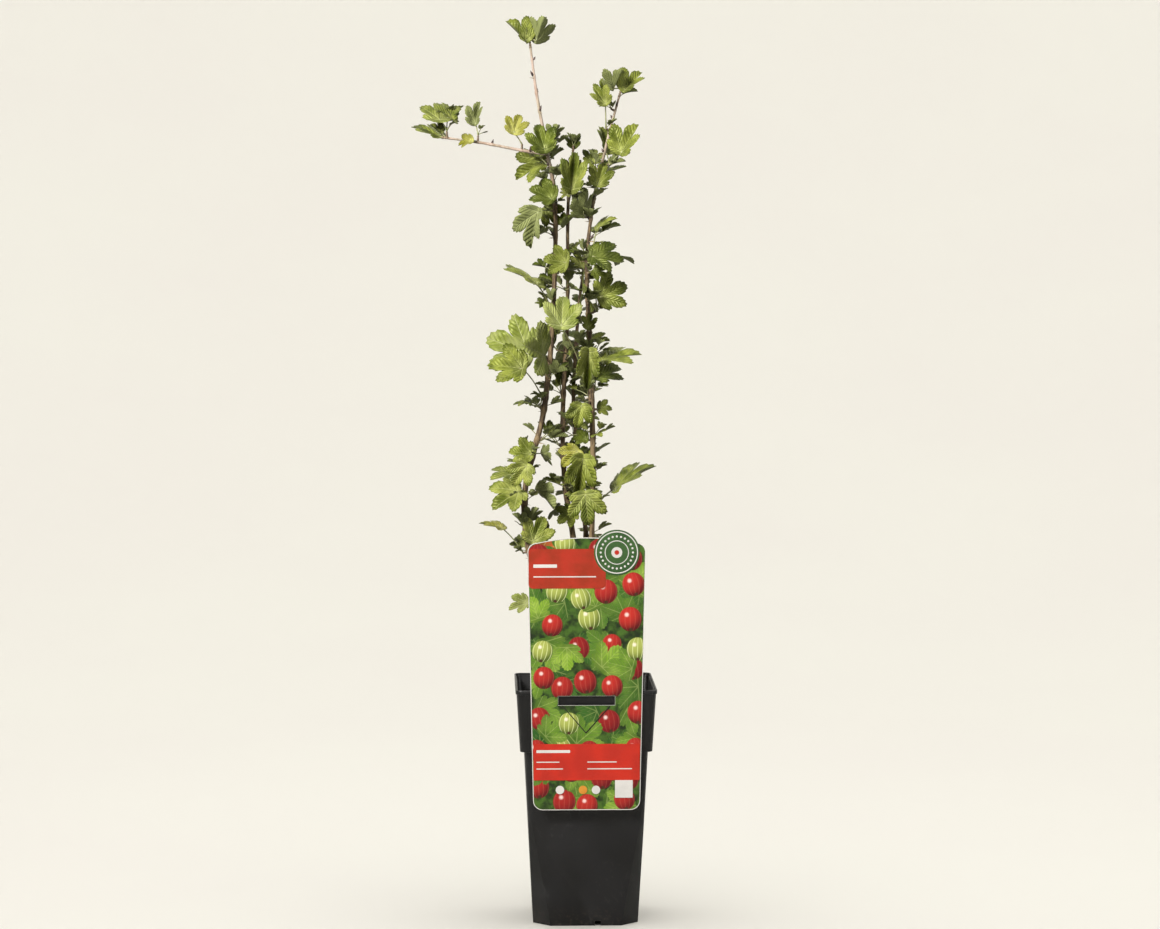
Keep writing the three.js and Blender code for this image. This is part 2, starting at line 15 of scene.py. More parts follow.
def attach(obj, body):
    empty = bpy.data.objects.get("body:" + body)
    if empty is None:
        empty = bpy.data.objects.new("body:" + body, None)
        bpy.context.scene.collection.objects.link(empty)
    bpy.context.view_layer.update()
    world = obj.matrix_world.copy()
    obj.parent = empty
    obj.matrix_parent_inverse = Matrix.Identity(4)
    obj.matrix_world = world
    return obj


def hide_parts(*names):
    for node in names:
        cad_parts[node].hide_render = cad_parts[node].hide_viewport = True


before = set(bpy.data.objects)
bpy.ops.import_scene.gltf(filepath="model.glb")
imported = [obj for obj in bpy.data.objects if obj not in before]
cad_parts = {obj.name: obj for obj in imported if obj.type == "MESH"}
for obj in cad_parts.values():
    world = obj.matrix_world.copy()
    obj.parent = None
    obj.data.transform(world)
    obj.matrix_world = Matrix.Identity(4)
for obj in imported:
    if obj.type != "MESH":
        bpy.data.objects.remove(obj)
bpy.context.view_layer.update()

MM = 0.001
GAP = 0.3  # between one CAD piece and the next
SHARP = 30  # degrees that two faces turn at an edge that counts as sharp
SEEDS = {
    "crumbs": 1207, "threads": 412, "picture": 88, "bark": 900, "thorns": 700, "buds": 300,
    "twigs": 5000, "spur_leaves": 6000, "tip_leaves": 6500, "bud_leaves": 7000,
}

# ------------------------------------------------------------------ sizes
POT_HEIGHT = 204
RIM_HALF = 60
LIP_HEIGHT = 3.5
LIP_OUT = 0.8
COLLAR_BOTTOM = 151
COLLAR_HALF = 56.2
BODY_TOP_HALF = 52.6
BASE_HALF = 45
WALL = 1.4
CORNER_ROUND = 5
FOOT_CHAMFER = 15
CHAMFER_TOP = 94
BASE_BORDER = 7
BASE_RECESS = 2
NOTCH_SHIFT = 10
NOTCH_HALF = 2.5
NOTCH_FROM = 41
NOTCH_TO = 49
NOTCH_HEIGHT = 4

SOIL_LEVEL = 190
SOIL_DEPTH = 8
SOIL_EDGE_DROP = 3
SOIL_HALF = 56.6
SOIL_CELLS = 110
SOIL_SINK = 0.8
LUMP_SPACING = 14
LUMP_HEIGHT = 0.9
GRIT_SPACING = 2.2
GRIT_HEIGHT = 0.35
CRUMBS = 900
ROOT_THREADS = 70
THREAD_STEPS = 8

CARD_BACK = -60.4
CARD_FRONT = -61.4
CARD_BOTTOM = 102.5
CARD_SHOULDER = 329.5
CARD_CROWN = 334
CARD_TOP_HALF = 50
CARD_BOTTOM_HALF = 45.2
CARD_ROUND = 8
CARD_SLOT_HALF = 24
CARD_SLOT = (191.8, 199.6)
CARD_BORDER = 0.65  # of white round the picture
PRINT_LAYER = 0.05  # thickness of the ground and of each printed panel or dot
PRINT_STEP = 0.01  # from one printed leaf or berry to the next that overlaps it
PICTURE_LAYERS = 10  # print layers that the picture may fill, under the panels
BADGE_X = 25.4
BADGE_Z = 321.4
BADGE_RADIUS = 19.5
HOOK_HALF = 17
HOOK_TIP = 191.5
HOOK_BACK = -56.0
HOOK_TOP = 205.4

# Limbs: radius at foot and tip, how far up the bark is old and the buds have opened, as parts
# of the length, sizes of the young leaves at the buds, and the line the limb follows.
FOOT = SOIL_LEVEL + GAP
LIMBS = {
    "stem_left": dict(
        radius=(3.2, 0.9), old_until=0.72, leafy_until=0.78, young_leaves=(8, 17),
        line=[(-13, -7, FOOT), (-40, -16, 290), (-52, -18, 362), (-35, -10, 440), (-27, -4, 522),
              (-25, 0, 612), (-32, 1, 660), (-40.5, -1, 706), (-46, -4, 747)],
    ),
    "stem_middle": dict(
        radius=(3.0, 1.0), old_until=0.9, leafy_until=0.95, young_leaves=(9, 16),
        line=[(-5, 6, FOOT), (-3, 8, 280), (-16, 8, 370), (-18.5, 6, 430), (-14.5, 8, 520),
              (-14, 6, 610), (-10, 3, 658)],
    ),
    "stem_back": dict(
        radius=(2.6, 1.0), old_until=0.95, leafy_until=0.95, young_leaves=(10, 18),
        line=[(5, 12, FOOT), (4, 20, 300), (-5, 22, 400), (-9, 19, 450), (-4, 16, 530),
              (3, 18, 580)],
    ),
    "stem_right": dict(
        radius=(2.8, 0.9), old_until=0.78, leafy_until=0.8, young_leaves=(8, 17),
        line=[(9, -4, FOOT), (6, -8, 310), (7, -8, 400), (4, -6, 500), (2, 0, 560), (7, 4, 612),
              (20, 4, 670), (29.5, 3, 706)],
    ),
    "shoot_left": dict(
        radius=(1.5, 0.8), old_until=-0.2, leafy_until=0, young_leaves=(),
        line=[(-34, 1, 657.5), (-56, -1, 661), (-88, -3, 667), (-118, -4, 671)],
    ),
}

# Half a leaf's outline, as angle from the middle lobe's tip and distance from the leaf stalk,
# for a leaf of size 1: coarse, by which room is tested, and with its blunt teeth.
HALF_OUTLINE = [
    (12, 0.92), (23, 0.54), (34, 0.82), (45, 0.93), (57, 0.78), (68, 0.52), (83, 0.57),
    (115, 0.28),
]
HALF_TEETH = [
    (4, 0.955), (8, 0.97), (11, 0.88), (15, 0.87), (18, 0.79), (20.5, 0.74), (22.2, 0.60),
    (23, 0.50), (24.2, 0.60), (27, 0.70), (30, 0.77), (33, 0.77), (36, 0.87), (39, 0.86),
    (42.5, 0.95), (45.5, 0.92), (48.5, 0.95), (52, 0.85), (56, 0.84), (59.5, 0.74), (63, 0.71),
    (66, 0.57), (68, 0.48), (70.5, 0.56), (75, 0.61), (79, 0.57), (84, 0.60), (90, 0.51),
    (98, 0.46), (108, 0.34), (120, 0.27), (145, 0.17),
]
BASE_RADIUS = 0.12

# A blade: the rings of its mesh as shares of its outline, its thickness, and how it waves,
# pleats along each lobe and droops, for a leaf of size 1.
BLADE_SHARES = (0.42, 0.74, 1.0)
BLADE_THICKNESS = 0.36
MARGIN_WAVE = 0.045
LOBE_ANGLE = 45
PLEAT = 0.05
DROOP = (0.04, 0.2)

# Stalks and spurs, and the room that leaves keep from limbs, other sprays and their own.
STALK_RADIUS = 0.55
SPUR_RADIUS = 1.0
SPUR_TAPER = 0.8
SPUR_LENGTH = 2
SPUR_PER_LEAF = 1.5
LIMB_CLEARANCE = 1.6
LEAF_CLEARANCE = 2
OWN_CLEARANCE = 0.8
NEAR = 4

# Where room is tested: steps along a limb, parts of a stalk, shares of a blade's outline.
LOBES_FROM = 0.4
SAMPLE_STEP = 2
SAMPLE_PARTS = (0.2, 0.4, 0.6, 0.8)
SAMPLE_SHARES = (0.4, 0.6, 0.8, 1)

# How each leaf of a spray is turned from the leading one, the further turns that are tried
# for room, and how loose those after the first are, in degrees and in shares.
TURNS = (0, 115, -115, 230)
TRIES = (0, 28, -28)
LOOSE_TURN = 30
LOOSE_ROLL = 40
LOOSE_SWING = 50
LOOSE_STALK = 40
LOOSE_FOLD = 16
LOOSE_REACH = 0.3
LOOSE_ROOT = 0.3
LOOSE_SIZE = 0.25

# Finer growth on the same limbs: buds at every node, young leaves that unfold beside them
# and at spurs and tips, thorns, and the swellings of the bark.
NODE_STEP = 27
NODE_TURN = 144
TINY_SIZE = (5, 9)
TINY_STALK = (3, 7)
TINY_TRIES = 3
TIP_SIZE = (10, 15)
TIP_TRIES = 12
SMALL_STALK = (6, 15)
SMALL_TRIES = 13
THORN_LENGTH = (4, 7)
THORN_RADIUS = 0.42
THORN_SAG = 0.04
BUD_LENGTH = (3.6, 6)
BUD_WIDTH = (0.85, 1.15)
NODE_REACH = 2.4
SWELLING = 0.22
FOOT_FLARE = 0.22
FLARE_REACH = 6
LIMB_STEP = 1.7
LIMB_SIDES = 12

# Sprays: name, tint and light, limb, place along it (0 foot, 1 tip), steps from there to the base
# of the leading blade (across +X, forward -Y, up +Z), leaf size, aim of its tip as seen from the
# front (0 right, 90 up), tilt of the blade from level, fold of its halves, number of leaves,
# azimuth the leading one faces. Of the tints, the bright, middle and darkest greens are one
# green painted lit, half-shaded and in shade; yellow, pale and turned are the leaves' own colours.
FRONT = 270
SPRAYS = [
    ("tuft_top", "mid", "stem_left", 1, -5, 1, 6, 25, 127, 58, 48, 4, 300),
    ("shoot_end", "mid", "shoot_left", 1, -5, -1, 1, 27, 151, 30, 8, 1, 325),
    ("shoot_fan", "bright", "shoot_left", 0.99, -6, 8, 15, 26, 88, 45, 10, 3),
    ("shoot_middle", "turned", "shoot_left", 0.7, -2, -4, 16, 20, 82, 80, 55, 2, 250),
    ("shoot_curl", "yellow", "shoot_left", 0.72, -3, 8, 0, 13, 190, 50, 35, 1, 250),
    ("shoot_root", "yellow", "shoot_left", 0.3, -7, 5, 15, 18, 72, 74, 30),
    ("tuft_right", "mid", "stem_right", 1, 5, 1, 6, 24, 52, 60, 46, 4, 255),
    ("right_1", "mid", "stem_right", 0.95, -8, -10, 11, 19, 98, 80, 60, 1, 250),
    ("right_2", "bright", "stem_right", 0.88, -4, 8, 23, 19, 122, 75, 48),
    ("right_3", "mid", "stem_right", 0.8, 17, 8, 11, 28, 64, 76, 38, 3, 240),
    ("right_4", "mid", "stem_right", 0.79, -7, -9, 7, 15, 78, 62, 20, 3),
    ("right_5", "mid", "stem_right", 0.75, 1, 14, 5, 21, 72, 78, 38),
    ("left_1", "deep", "stem_left", 0.74, -3, 14, 4, 25, 105, 76, 38, 3),
    ("left_2", "mid", "stem_left", 0.73, -4, -17, -1, 29, 208, 62, 35, 2, 250),
    ("left_3", "deep", "stem_left", 0.63, -3, 12, 4, 23, 150, 64, 35, 3),
    ("left_4", "turned", "stem_left", 0.62, -15, 12, -1, 32, 253, 82, 50, 1, 240),
    ("left_5", "mid", "stem_left", 0.6, -9, -9, 14, 19, 315, 72, 25, 2),
    ("middle_1", "bright", "stem_middle", 0.86, 2, 15, 7, 34, 84, 80, 60, 3),
    ("tuft_middle", "deep", "stem_middle", 1, 1, -2, 5, 15, 100, 62, 45, 3),
    ("right_6", "deep", "stem_right", 0.69, -5, -8, 3, 25, 92, 80, 52, 3, 90),
    ("right_7", "bright", "stem_right", 0.62, 8, 3, 16, 19, 38, 42, 12, 1, 200),
    ("middle_2", "mid", "stem_middle", 0.73, -2, 24, 9, 20, 168, 74, 18, 3),
    ("left_6", "bright", "stem_left", 0.51, -14, 12, 17, 35, 138, 38, 8, 1, 342),
    ("right_8", "deep", "stem_right", 0.58, 4, 22, 7, 27, 358, 42, 18, 3, 262),
    ("right_9", "deep", "stem_right", 0.56, 6, 14, 3, 12, 330, 66, 20),
    ("right_10", "mid", "stem_right", 0.47, 10, 3, 15, 26, 25, 78, 18, 3),
    ("front_1", "pale", "stem_right", 0.37, -26, 30, 50, 28, 86, 72, 30),
    ("left_7", "pale", "stem_left", 0.44, -18, 5, 5, 40, 156, 72, 14, 3),
    ("left_8", "mid", "stem_left", 0.39, -20, 30, 26, 29, 170, 62, 22),
    ("left_9", "deep", "stem_middle", 0.61, -12, -5, 7, 18, 155, 68, 20, 3),
    ("right_11", "mid", "stem_right", 0.44, -1, 10, 3, 14, 82, 76, 45),
    ("right_12", "mid", "stem_right", 0.39, 10, 8, 6, 34, 18, 24, 12, 1, 225),
    ("right_13", "deep", "stem_right", 0.36, 4, -9, 13, 27, 25, 44, 24, 2),
    ("middle_3", "bright", "stem_right", 0.41, -2, 24, 0, 32, 267, 82, 63),
    ("middle_4", "deep", "stem_middle", 0.62, 1, -14, 0, 26, 275, 85, 52, 2, 90),
    ("right_14", "mid", "stem_right", 0.35, -9, 14, -3, 20, 258, 82, 30),
    ("right_15", "mid", "stem_right", 0.34, 6, -8, 1, 12, 0, 60, 20, 2),
    ("low_1", "mid", "stem_left", 0.31, -1, 9, 3, 20, 168, 60, 25, 3),
    ("low_2", "bright", "stem_left", 0.29, -2, 22, 7, 21, 235, 78, 30),
    ("low_3", "bright", "stem_left", 0.25, -5, 11, 9, 28, 208, 45, 22, 3),
    ("low_4", "yellow", "stem_middle", 0.41, 12, 15, 6, 19, 222, 70, 24, 2),
    ("low_5", "mid", "stem_right", 0.28, -9, 18, 2, 34, 262, 83, 54, 3),
    ("low_6", "bright", "stem_right", 0.22, -7, 27, 9, 27, 276, 84, 25),
    ("low_7", "mid", "stem_middle", 0.29, 3, 13, 3, 17, 215, 66, 20, 3),
    ("low_8", "mid", "stem_right", 0.22, 20, 6, 13, 39, 38, 40, 10, 1, 195),
    ("low_9", "bright", "stem_left", 0.18, 3, 13, 5, 24, 65, 80, 30, 3),
    ("low_10", "yellow", "stem_left", 0.17, -24, 6, 21, 21, 157, 23, 8, 1, 335),
    ("low_11", "deep", "stem_back", 0.46, 9, 12, -5, 14, 176, 50, 30, 3),
    ("low_12", "pale", "stem_left", 0.1, -14, 8, 3, 17, 195, 52, 35, 2),
    ("low_13", "bright", "stem_left", 0.28, -11, -12, 4, 22, 183, 25, 12, 1, 290),
    ("low_14", "mid", "stem_left", 0.17, -6, -9, 5, 15, 128, 55, 30, 1, 230),
]


# ------------------------------------------------------------------ working by hand
def select_only(*pieces):
    bpy.ops.object.select_all(action="DESELECT")
    for piece in pieces:
        piece.select_set(True)
    if pieces:
        bpy.context.view_layer.objects.active = pieces[0]


def settle(piece, name):
    """Names a new piece and moves its place, turn and size into its mesh."""
    select_only(piece)
    bpy.ops.object.transform_apply(location=True, rotation=True, scale=True)
    piece.name = piece.data.name = name
    return piece


def block(name, low, high):
    """A block between two corners."""
    low, high = Vector(low) * MM, Vector(high) * MM
    select_only()
    bpy.ops.mesh.primitive_cube_add(size=1, location=(low + high) / 2)
    bpy.context.object.scale = high - low
    return settle(bpy.context.object, name)


def disc(name, middle, radius, depth, sides=64):
    """A round plate that stands upright and faces the front."""
    select_only()
    bpy.ops.mesh.primitive_cylinder_add(
        vertices=sides, radius=radius * MM, depth=depth * MM,
        location=Vector(middle) * MM, rotation=(math.pi / 2, 0, 0),
    )
    return settle(bpy.context.object, name)


def begin_edit(piece):
    select_only(piece)
    bpy.ops.object.mode_set(mode="EDIT")
    bpy.ops.mesh.select_mode(type="FACE")
    bpy.ops.mesh.select_all(action="SELECT")


def pick(piece, kind, test):
    """Selects the faces whose middle and normal pass a test, or the edges whose ends do."""
    bpy.ops.mesh.select_mode(type=kind)
    bpy.ops.mesh.select_all(action="DESELECT")
    mesh = bmesh.from_edit_mesh(piece.data)
    if kind == "FACE":
        for face in mesh.faces:
            face.select_set(test(face.calc_center_median() / MM, face.normal))
    else:
        for edge in mesh.edges:
            edge.select_set(test(edge.verts[0].co / MM, edge.verts[1].co / MM))
    bmesh.update_edit_mesh(piece.data)


def faces_up(middle, normal):
    return normal.z > 0.9


def extrude(step):
    bpy.ops.mesh.extrude_region_move(TRANSFORM_OT_translate={"value": Vector(step) * MM})


def widen(x, y):
    bpy.ops.transform.resize(value=(x, y, 1))


def round_edges(radius, segments):
    bpy.ops.mesh.bevel(offset=radius * MM, segments=segments, affect="EDGES")


def end_edit(close=True):
    """Leaves edit mode, with the skin closed and facing outwards."""
    if close:
        bpy.ops.mesh.select_all(action="SELECT")
        bpy.ops.mesh.remove_doubles(threshold=0.01 * MM)
        bpy.ops.mesh.normals_make_consistent(inside=False)
    bpy.ops.object.mode_set(mode="OBJECT")


def apply_modifier(piece, kind, **settings):
    modifier = piece.modifiers.new(kind, kind)
    for setting, value in settings.items():
        setattr(modifier, setting, value)
    select_only(piece)
    bpy.ops.object.modifier_apply(modifier=modifier.name)


def cut_with(piece, tool, operation="DIFFERENCE"):
    apply_modifier(piece, "BOOLEAN", operation=operation, object=tool, solver="EXACT")
    bpy.data.objects.remove(tool)


def shade_smooth(piece, angle):
    select_only(piece)
    bpy.ops.object.shade_smooth_by_angle(angle=math.radians(angle))


def soften(piece, width, segments=2):
    """Rounds the sharp edges and smooths the shading elsewhere."""
    apply_modifier(
        piece, "BEVEL", width=width * MM, segments=segments,
        limit_method="ANGLE", angle_limit=math.radians(SHARP),
    )
    shade_smooth(piece, SHARP)


def join(pieces, name):
    select_only(*pieces)
    bpy.ops.object.join()
    return settle(bpy.context.object, name)


def dress(piece, materials, replaced=()):
    """Gives a piece its materials and its place in the record."""
    for material in materials:
        piece.data.materials.append(material)
    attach(piece, "root")
    if replaced:
        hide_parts(*replaced)


# ------------------------------------------------------------------ working from rules
class Sheaf:
    """Many small shapes of one kind, gathered to be joined in one piece."""

    def __init__(self):
        self.points, self.faces, self.kinds, self.tones, self.places = [], [], [], [], []
        self.count = 0

    def add(self, points, faces, kinds=None, places=None, tone=0.0):
        """Adds one shape: its faces, their material places, its flat pattern and its tone."""
        points = np.asarray(points, float)
        self.points.append(points)
        self.faces += [[corner + self.count for corner in face] for face in faces]
        self.kinds += kinds or [0] * len(faces)
        self.tones.append(np.broadcast_to(np.asarray(tone, float), len(points)))
        self.places.append(np.zeros((len(points), 2)) if places is None else places)
        self.count += len(points)

    def piece(self, name):
        mesh = bpy.data.meshes.new(name)
        mesh.from_pydata((np.vstack(self.points) * MM).tolist(), [], self.faces)
        tone = mesh.attributes.new("tone", "FLOAT", "POINT")
        tone.data.foreach_set("value", np.concatenate(self.tones))
        corners = np.empty(len(mesh.loops), int)
        mesh.loops.foreach_get("vertex_index", corners)
        pattern = mesh.uv_layers.new(name="pattern")
        pattern.data.foreach_set("uv", np.vstack(self.places)[corners].ravel())
        mesh.polygons.foreach_set("material_index", self.kinds)
        mesh.polygons.foreach_set("use_smooth", [True] * len(mesh.polygons))
        made = bpy.data.objects.new(name, mesh)
        bpy.context.scene.collection.objects.link(made)
        return made


def unit(vector):
    return vector / np.linalg.norm(vector)


def turned(vector, axis, angle):
    """A vector turned about a unit axis by an angle in radians."""
    across = np.cross(axis, vector) * math.sin(angle)
    return vector * math.cos(angle) + across + axis * (axis @ vector) * (1 - math.cos(angle))


def swept(line, radii, sides):
    """Closed rings round a line, untwisted. Each radius is one number, or one for each side."""
    line = np.asarray(line, float)
    axes = np.gradient(line, axis=0)
    sideways = np.cross(axes[0], (0.31, 0.94, 0.11))
    angles = 2 * math.pi * np.arange(sides) / sides
    points = []
    faces = []
    for centre, axis, radius in zip(line, axes, radii):
        axis = unit(axis)
        sideways = unit(sideways - axis * (sideways @ axis))
        other = np.cross(axis, sideways)
        spokes = np.outer(np.cos(angles), sideways) + np.outer(np.sin(angles), other)
        points.append(centre + spokes * np.broadcast_to(radius, sides)[:, None])
    last = (len(line) - 1) * sides
    for start in range(0, last, sides):
        for side in range(sides):
            a, b = start + side, start + (side + 1) % sides
            faces.append([a, b, b + sides, a + sides])
    faces += [list(reversed(range(sides))), [last + side for side in range(sides)]]
    return np.vstack(points), faces


def random_from(seed):
    """Repeatable random numbers from 0 to 1."""
    modulus = 2147483647
    state = (seed * 48271 + 11) % modulus

    def draw():
        nonlocal state
        state = state * 16807 % modulus
        return state / modulus

    draw()
    draw()
    return draw


def between(limits, part):
    return limits[0] + (limits[1] - limits[0]) * part


# ------------------------------------------------------------------ how the bush grows
UP = np.array((0.0, 0.0, 1.0))


def along_limb(limb, at):
    """The point of a limb's line at a part of its way."""
    points = np.array(LIMBS[limb]["line"], float)
    last = len(points) - 1
    before = min(int(last * at), last - 1)
    way = last * at - before
    p1, p2 = points[before : before + 2]
    p0 = points[before - 1] if before > 0 else 2 * p1 - p2
    p3 = points[before + 2] if before + 2 <= last else 2 * p2 - p1
    v1 = (p2 - p0) / 2
    v2 = (p3 - p1) / 2
    cubic = (2 * p1 - 2 * p2 + v1 + v2) * way**3
    return cubic + (3 * p2 - 3 * p1 - 2 * v1 - v2) * way**2 + v1 * way + p1


def limb_heading(limb, at):
    step = 0.0001
    return unit(along_limb(limb, min(at + step, 1)) - along_limb(limb, max(at - step, 0)))


def limb_radius(limb, at):
    return between(LIMBS[limb]["radius"], at)


def limb_length(limb):
    chain = np.array([along_limb(limb, at) for at in np.linspace(0, 1, 201)])
    return np.linalg.norm(np.diff(chain, axis=0), axis=1).sum()


def direction(azimuth, rise):
    azimuth, rise = math.radians(azimuth), math.radians(rise)
    level = math.cos(rise)
    return np.array((level * math.cos(azimuth), level * math.sin(azimuth), math.sin(rise)))


def whole_outline(half):
    """A leaf's outline from its tip round to its stalk and back."""
    other = [(360 - angle, radius) for angle, radius in reversed(half)]
    return np.array([(0, 1), *half, (180, BASE_RADIUS), *other], float)


OUTLINE = whole_outline(HALF_OUTLINE)
TEETH = whole_outline(HALF_TEETH)
TESTED = np.stack((OUTLINE, (OUTLINE + np.vstack((OUTLINE[1:], (360, 1)))) / 2), 1).reshape(-1, 2)


def blade_points(leaf, outline, share=1.0, lift=0.0, wave=0.0):
    """Points of a leaf blade at angles and distances seen from its stalk."""
    theta = np.radians(outline[:, 0])
    radius = outline[:, 1] * share
    across = radius * np.sin(theta)
    fold = math.radians(leaf["fold"])
    pleat = PLEAT * radius * np.cos(2 * math.pi * outline[:, 0] / LOBE_ANGLE)
    ruffle = wave * radius**2 * np.sin(theta * leaf["ripples"] + leaf["phase"])
    height = math.sin(fold) * np.abs(across) - leaf["droop"] * radius**2 - pleat + ruffle
    size = leaf["size"]
    return (
        leaf["joint"]
        + np.outer(size * radius * np.cos(theta), leaf["axis"])
        + np.outer(size * across * math.cos(fold), leaf["side"])
        + np.outer(size * height + lift, leaf["normal"])
    )


def limb_samples():
    centres = []
    radii = []
    for limb in LIMBS:
        steps = math.ceil(limb_length(limb) / SAMPLE_STEP)
        centres += [along_limb(limb, step / steps) for step in range(steps + 1)]
        radii += [limb_radius(limb, step / steps) for step in range(steps + 1)]
    return np.array(centres), np.array(radii)


LIMB_CENTRES, LIMB_RADII = limb_samples()


def along_line(start, end):
    return np.array([start + (end - start) * part for part in SAMPLE_PARTS])


def leaf_samples(leaf):
    """Points over a leaf: its stalk, its whole blade, and the blade without its narrow base."""
    rings = np.vstack([blade_points(leaf, TESTED, share) for share in SAMPLE_SHARES])
    distances = np.concatenate([TESTED[:, 1] * share for share in SAMPLE_SHARES])
    return along_line(leaf["root"], leaf["joint"]), rings, rings[distances > LOBES_FROM]


def apart(points, others):
    """The least distance from some points to others, as far as they are near at all."""
    if not len(others):
        return NEAR
    others = np.vstack(others)
    inside = (others > points.min(axis=0) - NEAR) & (others < points.max(axis=0) + NEAR)
    others = others[inside.all(axis=1)]
    if not len(others):
        return NEAR
    return np.linalg.norm(points[:, None] - others[None], axis=2).min()


def clear_of_limbs(points, clearance):
    gaps = np.linalg.norm(points[:, None] - LIMB_CENTRES[None], axis=2)
    return bool((gaps > LIMB_RADII + clearance).all())


def has_room(spray, stalk, blade, lobes, sprays):
    """A leaf has room where it touches no limb and nothing of the sprays that already stands."""
    whole = np.vstack((stalk, blade))
    if not clear_of_limbs(whole, LIMB_CLEARANCE) or apart(lobes, spray["lobes"]) <= OWN_CLEARANCE:
        return False
    others = [other for other in sprays if other is not spray]
    return all(apart(whole, other["taken"]) > LEAF_CLEARANCE for other in others)


def aimed_axis(normal, aim):
    """The tip's direction within a blade: as seen from the front it points at the aim."""
    aim = math.radians(aim)
    seen = np.array((math.cos(aim), 0, math.sin(aim)))
    seen[1] = -(seen @ normal) / normal[1]
    return unit(seen)


def start_spray(index, name, tint_and_light, limb, at, across, forward, up, size, aim, tilt, fold,
                count=1, face=FRONT):
    node = along_limb(limb, at)
    heading = limb_heading(limb, at)
    stalk = np.array((across, -forward, up), float)
    reach = unit(stalk)
    out = unit(reach - heading * (reach @ heading))
    ends = at == 1
    spur = heading if ends else unit(reach + out)
    lean = np.linalg.norm(np.cross(spur, out))
    clear = GAP if ends else limb_radius(limb, at) + GAP + SPUR_RADIUS * lean
    start = node + (heading if ends else out) * clear
    tip = start + spur * (SPUR_LENGTH + SPUR_PER_LEAF * count)
    normal = direction(face, 90 - tilt)
    return dict(
        name=name, tint_and_light=tint_and_light, index=index, node=node, start=start, tip=tip, spur=spur,
        count=count, stalk=stalk, size=size, fold=fold, normal=normal,
        axis=aimed_axis(normal, aim), taken=[along_line(start, tip), tip[None]],
        lobes=[], leaves=[],
    )


def spread_leaf(spray, rank, further_turn):
    """The leading leaf is held as its spray says. Those that follow are turned round the spur
    from it, and a little loose in every other way."""
    draw = random_from(spray["index"] * len(TURNS) + rank + 1)
    loose = 1 if rank > 0 else 0

    def jitter(spread):
        return math.radians(loose * spread * (draw() - 0.5))

    turn = math.radians(TURNS[rank] + further_turn) + jitter(LOOSE_TURN)
    normal = turned(spray["normal"], UP, turn)
    axis = turned(spray["axis"], UP, turn)
    normal = turned(normal, axis, jitter(LOOSE_ROLL))
    axis = turned(axis, normal, jitter(LOOSE_SWING))
    stalk = turned(spray["stalk"], UP, turn + jitter(LOOSE_STALK))
    return dict(
        root=spray["tip"] + (spray["start"] - spray["tip"]) * loose * LOOSE_ROOT * draw(),
        joint=spray["node"] + stalk * (1 + loose * LOOSE_REACH * (draw() - 0.3)),
        axis=axis, normal=normal, side=np.cross(normal, axis),
        size=spray["size"] * (1 - loose * LOOSE_SIZE * draw()),
        fold=spray["fold"] + loose * LOOSE_FOLD * (draw() - 0.5),
        droop=between(DROOP, draw()), ripples=3 + int(5 * draw()), phase=6 * draw(), tone=draw(),
    )


def unfold_leaf(spray, rank, sprays):
    """Unfolds one more leaf of a spray where it finds room."""
    for further_turn in TRIES if rank > 0 else (0,):
        leaf = spread_leaf(spray, rank, further_turn)
        stalk, blade, lobes = leaf_samples(leaf)
        if has_room(spray, stalk, blade, lobes, sprays):
            spray["leaves"].append(leaf)
            spray["taken"] += [stalk, blade]
            spray["lobes"].append(lobes)
            return


def grow_sprays():
    """Every spray unfolds its leading leaf before any spray unfolds its second, and so on."""
    sprays = [start_spray(index, *row) for index, row in enumerate(SPRAYS)]
    for rank in range(len(TURNS)):
        for spray in sprays:
            if spray["count"] > rank:
                unfold_leaf(spray, rank, sprays)
    return sprays


def young_leaf(root, heading, sizes, reaches, draw):
    """A leaf that has just unfolded, turned any way round the bud that it comes from."""
    around = direction(360 * draw(), 5 + 35 * draw())
    reach = unit(around + heading * 1.4 * draw())
    joint = root + reach * between(reaches, draw())
    axis = unit(reach + UP * (0.7 * draw() - 0.4))
    side = unit(np.cross(UP, axis) + 1.2 * (draw() - 0.5) * UP)
    side = unit(side - axis * (side @ axis))
    return dict(
        root=root, joint=joint, axis=axis, normal=np.cross(axis, side), side=side,
        size=between(sizes, draw()), fold=12 + 45 * draw(), droop=0.3 * draw(), ripples=3,
        phase=6 * draw(), tone=draw(),
    )


def grow_young_leaves(root, heading, seed, sizes, reaches, tries, standing):
    """Unfolds young leaves at a bud or a spur's tip wherever they find room."""
    draw = random_from(seed)
    grown = []
    for _ in range(tries):
        leaf = young_leaf(root, heading, sizes, reaches, draw)
        stalk, blade, _ = leaf_samples(leaf)
        whole = np.vstack((stalk[1:], blade))
        if clear_of_limbs(blade, OWN_CLEARANCE) and apart(whole, standing) > OWN_CLEARANCE:
            standing.append(blade)
            grown.append(leaf)
    return grown


# ------------------------------------------------------------------ materials
def screen_colour(code):
    """A colour written as it looks on a screen, as the shader's linear values."""
    shown = np.array([int(code[start : start + 2], 16) for start in (0, 2, 4)]) / 255
    linear = np.where(shown <= 0.04045, shown / 12.92, ((shown + 0.055) / 1.055) ** 2.4)
    return (*linear, 1.0)


class Wire:
    """A value that changes over a surface. Arithmetic on it adds the nodes that work it out."""

    def __init__(self, tree, socket):
        self.tree, self.socket = tree, socket

    def calc(self, operation, *others):
        return self.tree.calc(operation, self, *others)

    def __add__(self, other):
        return self.calc("ADD", other)

    def __sub__(self, other):
        return self.calc("SUBTRACT", other)

    def __rsub__(self, other):
        return self.tree.calc("SUBTRACT", other, self)

    def __mul__(self, other):
        return self.calc("MULTIPLY", other)

    def __truediv__(self, other):
        return self.calc("DIVIDE", other)

    def step(self, low, high):
        """A smooth step from 0 at one value to 1 at another."""
        inputs = {"Value": self, "From Min": low, "From Max": high}
        return self.tree.add("MapRange", inputs, interpolation_type="SMOOTHSTEP")


